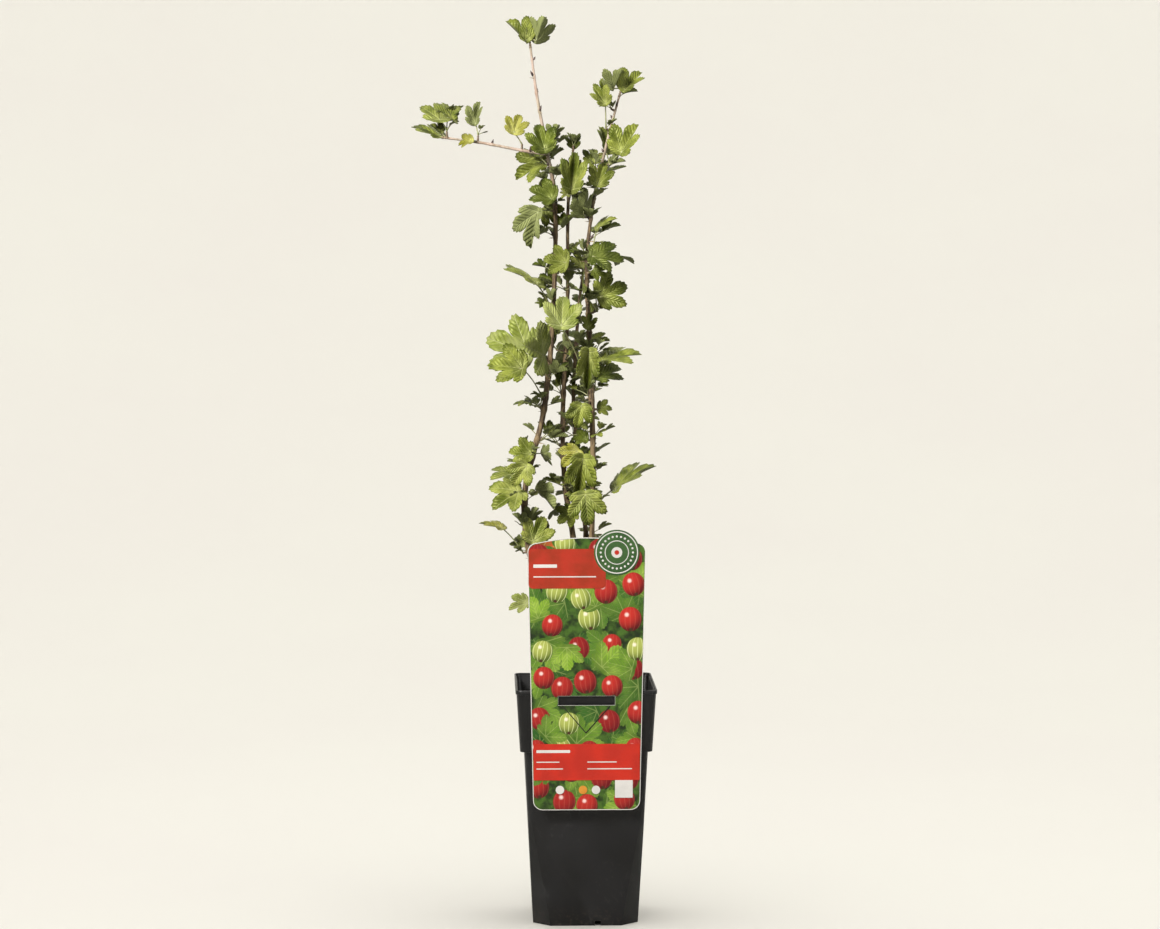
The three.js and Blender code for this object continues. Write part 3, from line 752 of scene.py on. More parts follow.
class Tree:
    """The nodes of a material or group. A value is a wire, a colour code or a plain value."""

    def __init__(self, nodes):
        self.nodes = nodes

    def feed(self, socket, value):
        if isinstance(value, Wire):
            self.nodes.links.new(value.socket, socket)
        else:
            socket.default_value = screen_colour(value) if isinstance(value, str) else value

    def node(self, kind, inputs=None, **settings):
        made = self.nodes.nodes.new("ShaderNode" + kind)
        for setting, value in settings.items():
            setattr(made, setting, value)
        for name, value in (inputs or {}).items():
            self.feed(made.inputs[name], value)
        return made

    def add(self, kind, inputs=None, output=0, **settings):
        return Wire(self, self.node(kind, inputs, **settings).outputs[output])

    def use(self, group, **inputs):
        """Places a group: a wire for each of its outputs."""
        made = self.node("Group", node_tree=bpy.data.node_groups[group])
        for name, value in inputs.items():
            self.feed(made.inputs[name], value)
        return {output.name: Wire(self, output) for output in made.outputs}

    def calc(self, operation, *values):
        return self.add("Math", dict(enumerate(values)), operation=operation)

    def blend(self, part, first, second):
        """Mixes two colours by a part from 0 to 1."""
        return self.add("Mix", {0: part, 6: first, 7: second}, 2, data_type="RGBA")

    def noise(self, place, scale, detail):
        return self.add("TexNoise", {"Vector": place, "Scale": scale, "Detail": detail})

    def split(self, place):
        made = self.node("SeparateXYZ", {0: place})
        return [Wire(self, output) for output in made.outputs]

    def distance(self, place, point):
        return self.add("VectorMath", {0: place, 1: point}, "Value", operation="DISTANCE")

    def relief(self, height, strength, depth, **inputs):
        inputs.update(Height=height, Strength=strength, Distance=depth)
        return self.add("Bump", inputs)


def new_group(name, inputs, outputs):
    """A group with named inputs, each a kind or a number to start from, and named outputs."""
    group = bpy.data.node_groups.new(name, "ShaderNodeTree")
    for label, value in inputs.items():
        kind = value if isinstance(value, str) else "Float"
        socket = group.interface.new_socket(label, in_out="INPUT", socket_type="NodeSocket" + kind)
        if kind == "Float":
            socket.default_value = value
    for label, kind in outputs.items():
        group.interface.new_socket(label, in_out="OUTPUT", socket_type="NodeSocket" + kind)
    tree = Tree(group)
    entries = [Wire(tree, output) for output in group.nodes.new("NodeGroupInput").outputs]
    return tree, entries, group.nodes.new("NodeGroupOutput").inputs


def build_mottle_group():
    """Cloudy patches of two colours."""
    inputs = {"Place": "Vector", "Scale": 100.0, "Low": 0.35, "High": 0.65}
    inputs.update(First="Color", Second="Color")
    tree, entries, results = new_group("mottle", inputs, {"Color": "Color", "Mask": "Float"})
    at, scale, low, high, first, second = entries[:6]
    mask = tree.noise(at, scale, 5.0).step(low, high)
    tree.feed(results["Mask"], mask)
    tree.feed(results["Color"], tree.blend(mask, first, second))


def build_grain_group():
    """Fine unevenness of a surface."""
    inputs = {"Place": "Vector", "Scale": 900.0, "Strength": 0.3, "Depth": 0.2 * MM}
    tree, entries, results = new_group("grain", inputs, {"Normal": "Vector"})
    at, scale, strength, depth = entries[:4]
    tree.feed(results["Normal"], tree.relief(tree.noise(at, scale, 6.0), strength, depth))


def build_scuff_group():
    """Scratches that run one way, broken up in patches."""
    inputs = {"Place": "Vector", "Turn": 0.6, "Scale": 260.0, "Amount": 0.5}
    tree, entries, results = new_group("scuffs", inputs, {"Mask": "Float"})
    at, turn, scale, amount = entries[:4]
    spin = {"Vector": at, "Angle": turn, "Axis": (0.6, 0.8, 0.1)}
    slanted = tree.add("VectorRotate", spin, rotation_type="AXIS_ANGLE")
    drawn_out = tree.add("Mapping", {"Vector": slanted, "Scale": (1.0, 1.0, 0.06)})
    thin = tree.noise(drawn_out, scale, 4.0).step(0.60, 0.68)
    here = tree.noise(at, 22.0, 2.0).step(0.48, 0.62)
    tree.feed(results["Mask"], thin * here * amount)


def build_vein_group():
    """Veins of a lobed leaf, from its flat pattern: X across the blade, Y towards the tip."""
    inputs = {"Place": "Vector", "Lobe": math.radians(LOBE_ANGLE), "Spacing": 0.13}
    outputs = {"Veins": "Float", "Ridges": "Float", "Centre": "Float"}
    tree, entries, results = new_group("leaf_veins", inputs, outputs)
    at, lobe_angle, spacing = entries[:3]
    across, along, _ = tree.split(at)
    across = across.calc("ABSOLUTE")
    radius = (across * across + along * along).calc("SQRT")
    angle = across.calc("ARCTAN2", along)
    lobe = (angle / lobe_angle).calc("ROUND").calc("MINIMUM", 2.0)
    within = angle - lobe * lobe_angle
    beside = (radius * within.calc("SINE")).calc("ABSOLUTE")
    main = 1.0 - (beside / (radius * -0.012 + 0.024)).step(0.35, 1.0)
    slanted = beside * -1.25 + radius * within.calc("COSINE")
    bands = (slanted / spacing).calc("PINGPONG", 0.5)
    away = radius.step(0.16, 0.3)
    side = (1.0 - bands.step(0.03, 0.10)) * away * 0.55
    tree.feed(results["Veins"], main.calc("MAXIMUM", side))
    tree.feed(results["Ridges"], bands * away)
    tree.feed(results["Centre"], 1.0 - radius.step(0.1, 0.55))


for build_group in (build_mottle_group, build_grain_group, build_scuff_group, build_vein_group):
    build_group()


def new_material(name, **values):
    """A material, with what is the same all over set on its shader: its tree and its places."""
    made = bpy.data.materials.new(name)
    made.use_nodes = True
    tree = Tree(made.node_tree)
    tree.surface = made.node_tree.nodes["Principled BSDF"].inputs
    for label, value in values.items():
        tree.surface[label.replace("_", " ")].default_value = value
    where = tree.node("TexCoord").outputs
    return made, tree, Wire(tree, where["Object"]), Wire(tree, where["UV"])


def finish(tree, colour, **others):
    """Ends wires in the shader."""
    for label, value in {"Base Color": colour, **others}.items():
        tree.feed(tree.surface[label], value)


def pot_plastic():
    """Dark semi-matt plastic, cloudy and scuffed, dusty at the foot and softly dented."""
    made, tree, at, _ = new_material("pot_plastic", Specular_IOR_Level=0.25)
    body = tree.use("mottle", Place=at, Scale=26.0, First="050505", Second="080809")
    scuffs = tree.use("scuffs", Place=at, Turn=0.5, Amount=0.3)["Mask"]
    across = tree.use("scuffs", Place=at, Turn=2.2, Scale=340.0, Amount=0.22)["Mask"]
    worn = scuffs.calc("MAXIMUM", across)
    low = 1.0 - tree.split(at)[2].step(0.0, 22 * MM)
    dust = low * tree.noise(at, 420.0, 6.0).step(0.5, 0.72) * 0.3
    colour = tree.blend(dust, tree.blend(worn, body["Color"], "232323"), "3d342c")
    roughness = dust * 0.4 + body["Mask"] * 0.1 + worn * 0.25 + 0.33
    grain = tree.use("grain", Place=at, Scale=1500.0, Strength=0.12)["Normal"]
    dents = tree.relief(tree.noise(at, 17.0, 1.5), 0.35, 3 * MM, Normal=grain)
    finish(tree, colour, Roughness=roughness, Normal=dents)
    return made


def mottled(name, first, second, scale, grain, roughness, specular=0.5):
    """Cloudy patches of two colours, with a grain of some scale, strength and depth."""
    made, tree, at, _ = new_material(name, Roughness=roughness, Specular_IOR_Level=specular)
    patches = tree.use("mottle", Place=at, Scale=scale, First=first, Second=second)
    fine, strength, depth = grain
    relief = tree.use("grain", Place=at, Scale=fine, Strength=strength, Depth=depth * MM)
    finish(tree, patches["Color"], Normal=relief["Normal"])
    return made


def printed_leaves():
    """Printed leaves with pale veins, from dark to yellow green, and orange above a tone of 1."""
    made, tree, at, flat = new_material("printed_leaves", Roughness=0.32, Specular_IOR_Level=0.2)
    veins = tree.use("leaf_veins", Place=flat, Spacing=0.17)
    tone = tree.add("Attribute", output="Fac", attribute_name="tone")
    orange = tone.calc("GREATER_THAN", 1.0)
    colour = tree.blend(orange, tree.blend(tone, "11320c", "516a18"), "732d10")
    bright = tree.blend(orange, "697a32", "784017")
    lit = tree.noise(at, 110.0, 4.0).step(0.35, 0.7)
    colour = tree.blend(lit * tone * 0.7, colour, bright)
    away = tree.distance(flat, (0.1, 0.75, 0.0)).step(0.3, 1.0)
    colour = tree.blend(away * 0.5, colour, "081e05")
    colour = tree.blend(0.4 - veins["Ridges"] * 0.8, colour, "102507")
    finish(tree, tree.blend(veins["Veins"] * 0.22, colour, "7f8951"))
    return made


def printed_berries():
    """Printed round berries, ripe red or pale green, with fine pale stripes and a glint."""
    made, tree, _, flat = new_material("printed_berries", Roughness=0.3, Specular_IOR_Level=0.2)
    tone = tree.add("Attribute", output="Fac", attribute_name="tone")
    side, height, _ = tree.split(flat)
    ripe = tone.calc("LESS_THAN", 0.78)
    depth = (1.0 - (side * side + height * height)).calc("MAXIMUM", 0.0).calc("SQRT")
    light = (height * 0.45 + side * -0.3 + depth * 0.75).step(-0.1, 1.0)
    dark_skin = tree.blend(ripe, "2b370e", "2f0304")
    skin = tree.blend(light, dark_skin, tree.blend(ripe, "686e34", "751812"))
    skin = tree.blend(tone * ripe * 0.9, skin, "410408")
    belt = (1.2 - height * height).calc("SQRT")
    striped = 1.0 - (side / belt * 2.6).calc("PINGPONG", 0.5).step(0.02, 0.14)
    skin = tree.blend(striped * (0.5 - ripe * 0.4), skin, tree.blend(ripe, "969c71", "a15d4b"))
    glint = 1.0 - tree.distance(flat, (-0.28, 0.36, 0.0)).step(0.04, 0.26)
    skin = tree.blend(glint * 0.65, skin, "a99d97")
    tuft = 1.0 - tree.distance(flat, (0.05, -0.88, 0.0)).step(0.1, 0.2)
    finish(tree, tree.blend(tuft, skin, "251509"))
    return made


def bark():
    """Bark that runs from tan and smooth on young wood to grey-brown and rough on old."""
    made, tree, at, _ = new_material("bark", Specular_IOR_Level=0.3)
    age = tree.add("Attribute", output="Fac", attribute_name="tone")
    drawn_out = tree.add("Mapping", {"Vector": at, "Scale": (1.0, 1.0, 0.16)})
    old = tree.use(
        "mottle", Place=drawn_out, Scale=620.0, Low=0.38, High=0.62, First="25190b", Second="51432c"
    )
    young = tree.use("mottle", Place=drawn_out, Scale=420.0, First="64584c", Second="817970")
    blush = tree.use(
        "mottle", Place=at, Scale=42.0, Low=0.4, High=0.6, First="5f5c3f", Second="755548"
    )
    fleck = tree.noise(at, 1500.0, 2.0).step(0.62, 0.7) * 0.5
    fresh = tree.blend(0.3, young["Color"], blush["Color"])
    colour = tree.blend(fleck, tree.blend(age, fresh, old["Color"]), "60564b")
    furrows = tree.noise(drawn_out, 1100.0, 5.0) * (age * 0.8 + 0.2)
    relief = tree.relief(furrows, 0.7, 0.5 * MM)
    finish(tree, colour, Roughness=age * 0.28 + 0.55, Normal=relief)
    return made


def leaf_skin(name, shade, body, light, vein, roughness, vein_part):
    """One side of the leaves: green with paler veins, quilted between them, with painted light in
    patches and on the quilt's ridges and painted shade in blotches.
    """
    made, tree, at, flat = new_material(
        name, Specular_IOR_Level=0.3, Specular_Tint=(0.8, 0.85, 0.35, 1)
    )
    veins = tree.use("leaf_veins", Place=flat)
    # Painted light: cloudy patches of the light colour over the body colour.
    patches = tree.use("mottle", Place=at, Scale=90.0, First=body, Second=light)
    tone = tree.add("Attribute", output="Fac", attribute_name="tone")
    colour = patches["Color"]
    # Painted shade in cloudy blotches, each leaf darker by its random tone, painted light on the
    # quilt's raised ridges, and paler veins and middle.
    for part, towards in (
        (tree.noise(at, 60.0, 3.0).step(0.45, 0.65) * 0.6, shade),
        (tone * 0.45, shade),
        (veins["Ridges"] * 0.22, light),
        (veins["Centre"] * 0.25, vein),
        (veins["Veins"] * vein_part, vein),
    ):
        colour = tree.blend(part, colour, towards)
    quilt = tree.noise(at, 700.0, 3.0) * 0.25 + veins["Ridges"] - veins["Veins"] * 0.6
    relief = tree.relief(quilt, 0.75, 1.0 * MM)
    finish(tree, colour, Roughness=patches["Mask"] * 0.12 + roughness, Normal=relief)
    return made


PEAT_GRAIN = (900.0, 0.8, 0.6)
FIBRE_GRAIN = (2600.0, 0.3, 0.2)
CARD_GRAIN = (1800.0, 0.06, 0.1)
POT_PLASTIC = pot_plastic()
SOIL_PEAT = mottled("soil_peat", "0b0604", "1d140d", 330.0, PEAT_GRAIN, 0.9, 0.25)
SOIL_CRUMBS = mottled("soil_crumbs", "120c07", "2e2117", 330.0, PEAT_GRAIN, 0.9, 0.25)
ROOT_FIBRE = mottled("root_fibre", "392c1e", "5e5040", 240.0, FIBRE_GRAIN, 0.8)
# The dark card colour is painted shadow, for the card's slits.
CARD_WHITE, CARD_HEADING, CARD_RED, CARD_SLIT_SHADOW, CARD_ORANGE, CARD_GREEN = [
    mottled(f"card_{name}", first, second, 60.0, CARD_GRAIN, 0.38, 0.2)
    for name, first, second in (
        ("white", "84827f", "7c7b78"),
        ("heading", "6a180b", "5a1706"),
        ("red", "761509", "6c1309"),
        ("dark", "12100d", "0a0908"),
        ("orange", "7f571b", "784b14"),
        ("green", "172c13", "203518"),
    )
]
CARD_GROUND = mottled("card_ground", "0c1505", "263b10", 150.0, (1800.0, 0.05, 0.1), 0.32, 0.2)
PRINTED_LEAVES = printed_leaves()
PRINTED_BERRIES = printed_berries()
BARK = bark()
THORN_WOOD = mottled("thorn_wood", "5e492f", "74664d", 240.0, FIBRE_GRAIN, 0.5)
BUD_SCALES = mottled("bud_scales", "1d1211", "3b2924", 240.0, FIBRE_GRAIN, 0.6)
STALK_SKIN = mottled("stalk_skin", "4b5229", "636140", 240.0, FIBRE_GRAIN, 0.5)
# Painted light and shade: the bright, middle and darkest greens are one leaf green in a lit, a
# half-shaded and a shaded copy. Yellow and pale are the leaves' own tints. In each, the shade and
# light colours are painted shade and painted light.
LEAF_TINTS_AND_LIGHT = {
    "bright": leaf_skin("leaf_bright", "1d2601", "303a02", "666a30", "6f7246", 0.42, 0.5),
    "mid": leaf_skin("leaf_mid", "111800", "283002", "585e23", "65693b", 0.4, 0.45),
    "deep": leaf_skin("leaf_deep", "080e00", "1a2401", "404813", "4d5428", 0.38, 0.4),
    "yellow": leaf_skin("leaf_yellow", "373702", "515107", "727036", "75744c", 0.42, 0.5),
    "pale": leaf_skin("leaf_pale", "2e3808", "495116", "686c40", "6f724f", 0.45, 0.55),
}
LEAF_UNDER = leaf_skin("leaf_underside", "393e21", "474c2b", "535837", "5e6144", 0.6, 0.4)


# ------------------------------------------------------------------ pot
def build_pot():
    """A tall square pot: tapered body with cut foot corners, wider collar, lip and open top."""
    pot = block("pot_body", (-BASE_HALF, -BASE_HALF, 0), (BASE_HALF, BASE_HALF, COLLAR_BOTTOM))
    begin_edit(pot)
    pick(pot, "FACE", faces_up)
    widen(BODY_TOP_HALF / BASE_HALF, BODY_TOP_HALF / BASE_HALF)
    pick(pot, "EDGE", lambda a, b: abs(a.z - b.z) > 1)
    round_edges(CORNER_ROUND, 5)
    pick(pot, "FACE", faces_up)
    half = BODY_TOP_HALF
    lip_half = RIM_HALF - LIP_OUT
    collar_rise = POT_HEIGHT - LIP_HEIGHT - COLLAR_BOTTOM
    for rise, new_half in ((0, COLLAR_HALF), (collar_rise, lip_half), (0, RIM_HALF)):
        extrude((0, 0, rise))
        widen(new_half / half, new_half / half)
        half = new_half
    extrude((0, 0, LIP_HEIGHT))

    # The foot's corners are cut back by four leaning planes.
    middle_cut = (2 * BASE_HALF - FOOT_CHAMFER) / math.sqrt(2)
    top_half = BASE_HALF + (BODY_TOP_HALF - BASE_HALF) * CHAMFER_TOP / COLLAR_BOTTOM
    top_cut = (top_half - CORNER_ROUND) * math.sqrt(2) + CORNER_ROUND
    lean = (top_cut - middle_cut) / CHAMFER_TOP
    for azimuth in (45, 135, 225, 315):
        outward = Vector(direction(azimuth, 0))
        bpy.ops.mesh.select_all(action="SELECT")
        bpy.ops.mesh.bisect(
            plane_co=outward * middle_cut * MM,
            plane_no=(outward - Vector((0, 0, lean))).normalized(),
            use_fill=True,
            clear_outer=True,
        )

    pick(pot, "FACE", lambda middle, normal: normal.z < -0.9 and middle.z < 1)
    bpy.ops.mesh.inset(thickness=BASE_BORDER * MM)
    bpy.ops.mesh.inset(thickness=1.5 * MM, depth=-BASE_RECESS * MM)
    pick(pot, "FACE", lambda middle, normal: normal.z > 0.9 and middle.z > POT_HEIGHT - 1)
    bpy.ops.mesh.delete(type="FACE")
    end_edit()
    apply_modifier(pot, "SOLIDIFY", thickness=WALL * MM, offset=-1, use_even_offset=True)
    notch_low = (NOTCH_SHIFT - NOTCH_HALF, -NOTCH_TO, -NOTCH_HEIGHT)
    notch_high = (NOTCH_SHIFT + NOTCH_HALF, -NOTCH_FROM, NOTCH_HEIGHT)
    for quarter in range(4):
        notch = block("notch", notch_low, notch_high)
        notch.rotation_euler = Euler((0, 0, quarter * math.pi / 2))
        cut_with(pot, settle(notch, "notch"))
    soften(pot, 0.45)
    dress(pot, [POT_PLASTIC], ["pot"])


# ------------------------------------------------------------------ soil
def soil_height(x, y):
    """The soil's uneven surface, lower at the pot's wall."""
    edge = max(abs(x), abs(y)) / SOIL_HALF
    fall = SOIL_EDGE_DROP * max(0.0, (edge - 0.6) / 0.4)
    lumps = LUMP_HEIGHT * noise.fractal(Vector((x, y, 0)) / LUMP_SPACING, 1.0, 2.0, 4)
    grit = GRIT_HEIGHT * noise.noise(Vector((x, y, 5)) / GRIT_SPACING)
    return SOIL_LEVEL - SOIL_SINK - fall + lumps + grit


def build_soil():
    """A bed with an uneven top, its corners drawn in to the round of the pot's."""
    select_only()
    bpy.ops.mesh.primitive_grid_add(
        x_subdivisions=SOIL_CELLS, y_subdivisions=SOIL_CELLS, size=2 * SOIL_HALF * MM,
        location=(0, 0, SOIL_LEVEL * MM),
    )
    soil = settle(bpy.context.object, "soil_bed")
    begin_edit(soil)
    extrude((0, 0, -SOIL_DEPTH))
    end_edit()
    corner = CORNER_ROUND - WALL
    straight = SOIL_HALF - corner
    for vertex in soil.data.vertices:
        x, y, z = vertex.co / MM
        past = Vector((max(abs(x) - straight, 0), max(abs(y) - straight, 0)))
        if past.x > 0 and past.y > 0 and past.length > corner:
            past *= corner / past.length
            x = math.copysign(straight + past.x, x)
            y = math.copysign(straight + past.y, y)
        if z > SOIL_LEVEL - 1:
            z = soil_height(x, y)
        vertex.co = Vector((x, y, z)) * MM
    shade_smooth(soil, 50)
    dress(soil, [SOIL_PEAT], ["soil"])


CRUMB_POINTS = [
    (0, 0, 1), (0.9, 0, 0.3), (0.28, 0.85, 0.35), (-0.72, 0.53, 0.3), (-0.7, -0.5, 0.38),
    (0.3, -0.88, 0.3), (0.72, 0.5, -0.4), (-0.3, 0.85, -0.35), (-0.9, 0, -0.4),
    (-0.25, -0.86, -0.35), (0.7, -0.52, -0.4), (0, 0, -0.9),
]
CRUMB_FACES = [
    *[[0, 1 + side, 1 + (side + 1) % 5] for side in range(5)],
    *[[1 + side, 6 + side, 1 + (side + 1) % 5] for side in range(5)],
    *[[1 + (side + 1) % 5, 6 + side, 6 + (side + 1) % 5] for side in range(5)],
    *[[11, 6 + (side + 1) % 5, 6 + side] for side in range(5)],
]


def random_turn(draw):
    """Three unit vectors square to each other, turned any way."""
    first = direction(360 * draw(), math.degrees(math.asin(2 * draw() - 1)))
    second = unit(np.cross(first, direction(360 * draw(), 10)))
    return np.array((first, second, np.cross(first, second)))


def build_crumbs():
    """Loose crumbs of peat over the soil."""
    draw = random_from(SEEDS["crumbs"])
    crumbs = Sheaf()
    inside = SOIL_HALF - 2.5
    for _ in range(CRUMBS):
        x = inside * (2 * draw() - 1)
        y = inside * (2 * draw() - 1)
        size = 0.4 + 1.5 * draw() ** 3
        middle = np.array((x, y, soil_height(x, y) + 0.3 * size))
        shape = np.array(CRUMB_POINTS) * (1, 0.6 + 0.4 * draw(), 0.4 + 0.5 * draw()) * size
        crumbs.add(middle + shape @ random_turn(draw), CRUMB_FACES)
    dress(crumbs.piece("soil_crumbs"), [SOIL_CRUMBS])


def build_root_threads():
    """Fine roots and peat fibre that lie on the soil, most of them out near the pot's wall."""
    draw = random_from(SEEDS["threads"])
    threads = Sheaf()
    wall = RIM_HALF - LIP_OUT - WALL - 2.4
    for _ in range(ROOT_THREADS):
        azimuth = math.radians(360 * draw())
        spread = (wall - 2) / max(abs(math.cos(azimuth)), abs(math.sin(azimuth)))
        reach = min(spread, wall * 1.2) * (0.55 + 0.45 * draw() ** 0.5)
        x, y = reach * math.cos(azimuth), reach * math.sin(azimuth)
        heading = 6.3 * draw()
        bend = 0.9 * (draw() - 0.5)
        stride = 0.8 + 1.6 * draw()
        radius = 0.12 + 0.16 * draw() ** 2
        line = []
        for step in range(THREAD_STEPS):
            lift = 0.25 + 0.9 * math.sin(math.pi * step / (THREAD_STEPS - 1)) * draw()
            line.append(np.array((x, y, soil_height(x, y) + lift)))
            x = min(max(x + stride * math.cos(heading), -wall), wall)
            y = min(max(y + stride * math.sin(heading), -wall), wall)
            heading += bend + 0.8 * (draw() - 0.5)
        if min(math.dist(a, b) for a, b in zip(line, line[1:])) > 0.2:
            radii = [radius * (1 - 0.08 * step) for step in range(THREAD_STEPS)]
            threads.add(*swept(line, radii, 5))
    dress(threads.piece("root_threads"), [ROOT_FIBRE])


# ------------------------------------------------------------------ picture card
# Printed panels: left, low, right and high side.
HEADING = (CARD_BORDER + 0.4 - CARD_TOP_HALF, 291, 16, 324.5)
FOOTING = (-45, 128, 45, 159)
BARS = [
    (-45, 308.6, -25, 311.4),
    (-45, 300.4, 8, 301.4),
    (-42.5, 151.4, -14, 153.8),
    (-42.5, 143.1, -23, 144),
    (-42.5, 137.3, -20, 138.2),
    (0.5, 143.1, 25.5, 144),
    (0.5, 137.3, 38.5, 138.2),
    (24, 113, 39, 128),
]
DOTS = [(-22.6, CARD_WHITE), (-3.1, CARD_ORANGE), (7.9, CARD_WHITE)]
DOTS_Z = 119.8
DOT_RADIUS = 3.6
BADGE_RINGS = [
    (BADGE_RADIUS - 0.3, CARD_GREEN),
    (BADGE_RADIUS - 1.6, CARD_WHITE),
    (BADGE_RADIUS - 2.5, CARD_GREEN),
    (10.2, CARD_WHITE),
    (9.5, CARD_GREEN),
    (4.6, CARD_WHITE),
    (2.0, CARD_RED),
]
BEADS = 24
BEADS_OUT = 13.6
BEAD_RADIUS = 0.9
# The V of the card's slits, drawn as lines of painted shadow: its tip and its feet.
CUT_TIP = (-0.6, 168.3)
CUT_FEET = [(-20, 191), (19.7, 191)]
# The picture's rows and columns of leaves, and its berries in each of two tiers. The leaves
# of its top corner, beside the badge, are orange.
LEAF_ROWS = 9
LEAF_COLUMNS = 4
BERRIES = (14, 24)
BERRY_TRIES = 900
BERRY_SPACING = 16.5
ORANGE_ABOVE = 318
ORANGE_LEFT_OF = 30
ORANGE_TONE = 2


def card_half(z):
    """Half of the card's width at a height."""
    part = (z - CARD_BOTTOM) / (CARD_SHOULDER - CARD_BOTTOM)
    return CARD_BOTTOM_HALF + (CARD_TOP_HALF - CARD_BOTTOM_HALF) * part


def card_plate(name, margin, front, back):
    """A plate in the card's outline, smaller all round by a margin."""
    foot = CARD_BOTTOM + margin
    shoulder = CARD_SHOULDER - margin
    half = card_half(foot) - margin
    plate = block(name, (-half, front, foot), (half, back, shoulder))
    begin_edit(plate)
    pick(plate, "FACE", faces_up)
    widen((card_half(shoulder) - margin) / half, 1)
    pick(plate, "EDGE", lambda a, b: abs(a.y - b.y) > abs(front - back) / 2)
    round_edges(CARD_ROUND - margin, 8)
    pick(plate, "EDGE", lambda a, b: min(a.z, b.z) > shoulder - 0.01 and abs(a.x - b.x) > 50)
    bpy.ops.mesh.subdivide(number_cuts=23)
    mesh = bmesh.from_edit_mesh(plate.data)
    span = (CARD_TOP_HALF - CARD_ROUND) * MM
    for vertex in mesh.verts:
        if vertex.co.z > (shoulder - 0.01) * MM:
            vertex.co.z += (CARD_CROWN - CARD_SHOULDER) * MM * (1 - (vertex.co.x / span) ** 2)
    bmesh.update_edit_mesh(plate.data)
    end_edit()
    return plate


def card_slot(margin):
    half = CARD_SLOT_HALF + margin
    low, high = CARD_SLOT[0] - margin, CARD_SLOT[1] + margin
    return block("slot", (-half, CARD_FRONT - 2, low), (half, CARD_BACK + 2, high))


def build_card():
    """The card's white body: plate with a round badge, a slot, and a hook over the rim."""
    card = card_plate("card_body", 0, CARD_FRONT, CARD_BACK)
    middle = (BADGE_X, (CARD_FRONT + CARD_BACK) / 2, BADGE_Z)
    cut_with(card, disc("badge", middle, BADGE_RADIUS, CARD_BACK - CARD_FRONT - 0.02), "UNION")
    cut_with(card, card_slot(0))
    soften(card, 0.12, segments=1)
    bridge_low = HOOK_TOP - 1
    low = (-HOOK_HALF, CARD_BACK - 0.1, bridge_low)
    hook = block("hook", low, (HOOK_HALF, HOOK_BACK, HOOK_TOP))
    begin_edit(hook)
    bpy.ops.mesh.bisect(plane_co=(0, (HOOK_BACK - 1) * MM, 0), plane_no=(0, 1, 0))
    pick(hook, "FACE", lambda middle, normal: normal.z < -0.9 and middle.y > HOOK_BACK - 1)
    extrude((0, 0, HOOK_TIP - bridge_low))
    end_edit()
    soften(hook, 0.3)
    dress(join([card, hook], "card_body"), [CARD_WHITE], ["card"])


def panel(box, corner, layer, material):
    """A thin printed panel on the card, its corners rounded, on the layers under it."""
    left, low, right, high = box
    front = CARD_FRONT - PRINT_LAYER * layer
    plate = block("panel", (left, front, low), (right, front + PRINT_LAYER, high))
    begin_edit(plate)
    pick(plate, "EDGE", lambda a, b: abs(a.y - b.y) > 0.02)
    round_edges(corner, 5)
    end_edit(close=False)
    plate.data.materials.append(material)
    return plate


def dot(middle, radius, layer, material, sides=64):
    """A thin printed dot on the card."""
    place = (middle[0], CARD_FRONT - PRINT_LAYER * layer, middle[1])
    plate = disc("dot", place, radius, PRINT_LAYER, sides)
    plate.data.materials.append(material)
    return plate


def build_card_print():
    """The card's print: shaded ground, red heading and footing, plain bars, badge, and the V of
    the slits as dark lines of painted shadow.
    """
    ground = card_plate("card_print", CARD_BORDER, CARD_FRONT - PRINT_LAYER, CARD_FRONT)
    cut_with(ground, card_slot(0.15))
    ground.data.materials.append(CARD_GROUND)
    over = PICTURE_LAYERS
    prints = [
        ground,
        panel(HEADING, 3.5, over, CARD_HEADING),
        panel(FOOTING, 0.8, over, CARD_RED),
        *[panel(bar, 0.4, over + 1, CARD_WHITE) for bar in BARS],
    ]
    for x, material in DOTS:
        prints.append(dot((x, DOTS_Z), DOT_RADIUS, over + 1, material, 32))
    for layer, (radius, material) in enumerate(BADGE_RINGS):
        prints.append(dot((BADGE_X, BADGE_Z), radius, over + 1 + layer, material))
    for bead in range(BEADS):
        angle = bead * 2 * math.pi / BEADS
        middle = (BADGE_X + BEADS_OUT * math.cos(angle), BADGE_Z + BEADS_OUT * math.sin(angle))
        prints.append(dot(middle, BEAD_RADIUS, over + 4, CARD_WHITE, 16))
    # Painted shadow: the V-shaped slits are not cut; each is a dark strip laid on the print.
    tip = CUT_TIP
    for foot in CUT_FEET:
        half = math.dist(tip, foot) / 2
        line = panel((-half, -0.4, half, 0.4), 0.1, over, CARD_SLIT_SHADOW)
        line.rotation_euler = Euler((0, -math.atan2(foot[1] - tip[1], foot[0] - tip[0]), 0))
        line.location = Vector(((tip[0] + foot[0]) / 2, 0, (tip[1] + foot[1]) / 2)) * MM
        prints.append(settle(line, "cut"))
    dress(join(prints, "card_print"), [])


def on_card(x, z):
    """Whether a point lies on the card's picture: inside its border and off its slot."""
    low, high = CARD_SLOT
    if abs(x) < CARD_SLOT_HALF + 0.3 and low - 0.3 < z < high + 0.3:
        return False
    border = CARD_BORDER + 0.1
    span = CARD_TOP_HALF - CARD_ROUND
    crown = CARD_CROWN - (CARD_CROWN - CARD_SHOULDER) * min(abs(x) / span, 1) ** 2 - border
    half = card_half(z) - border
    if abs(x) > half or not CARD_BOTTOM + border < z < crown:
        return False
    corner = CARD_ROUND - border
    out = abs(x) - (half - corner)
    away = max(CARD_BOTTOM + border + corner - z, z - (CARD_SHOULDER - border - corner))
    return out < 0 or away < 0 or math.hypot(out, away) < corner


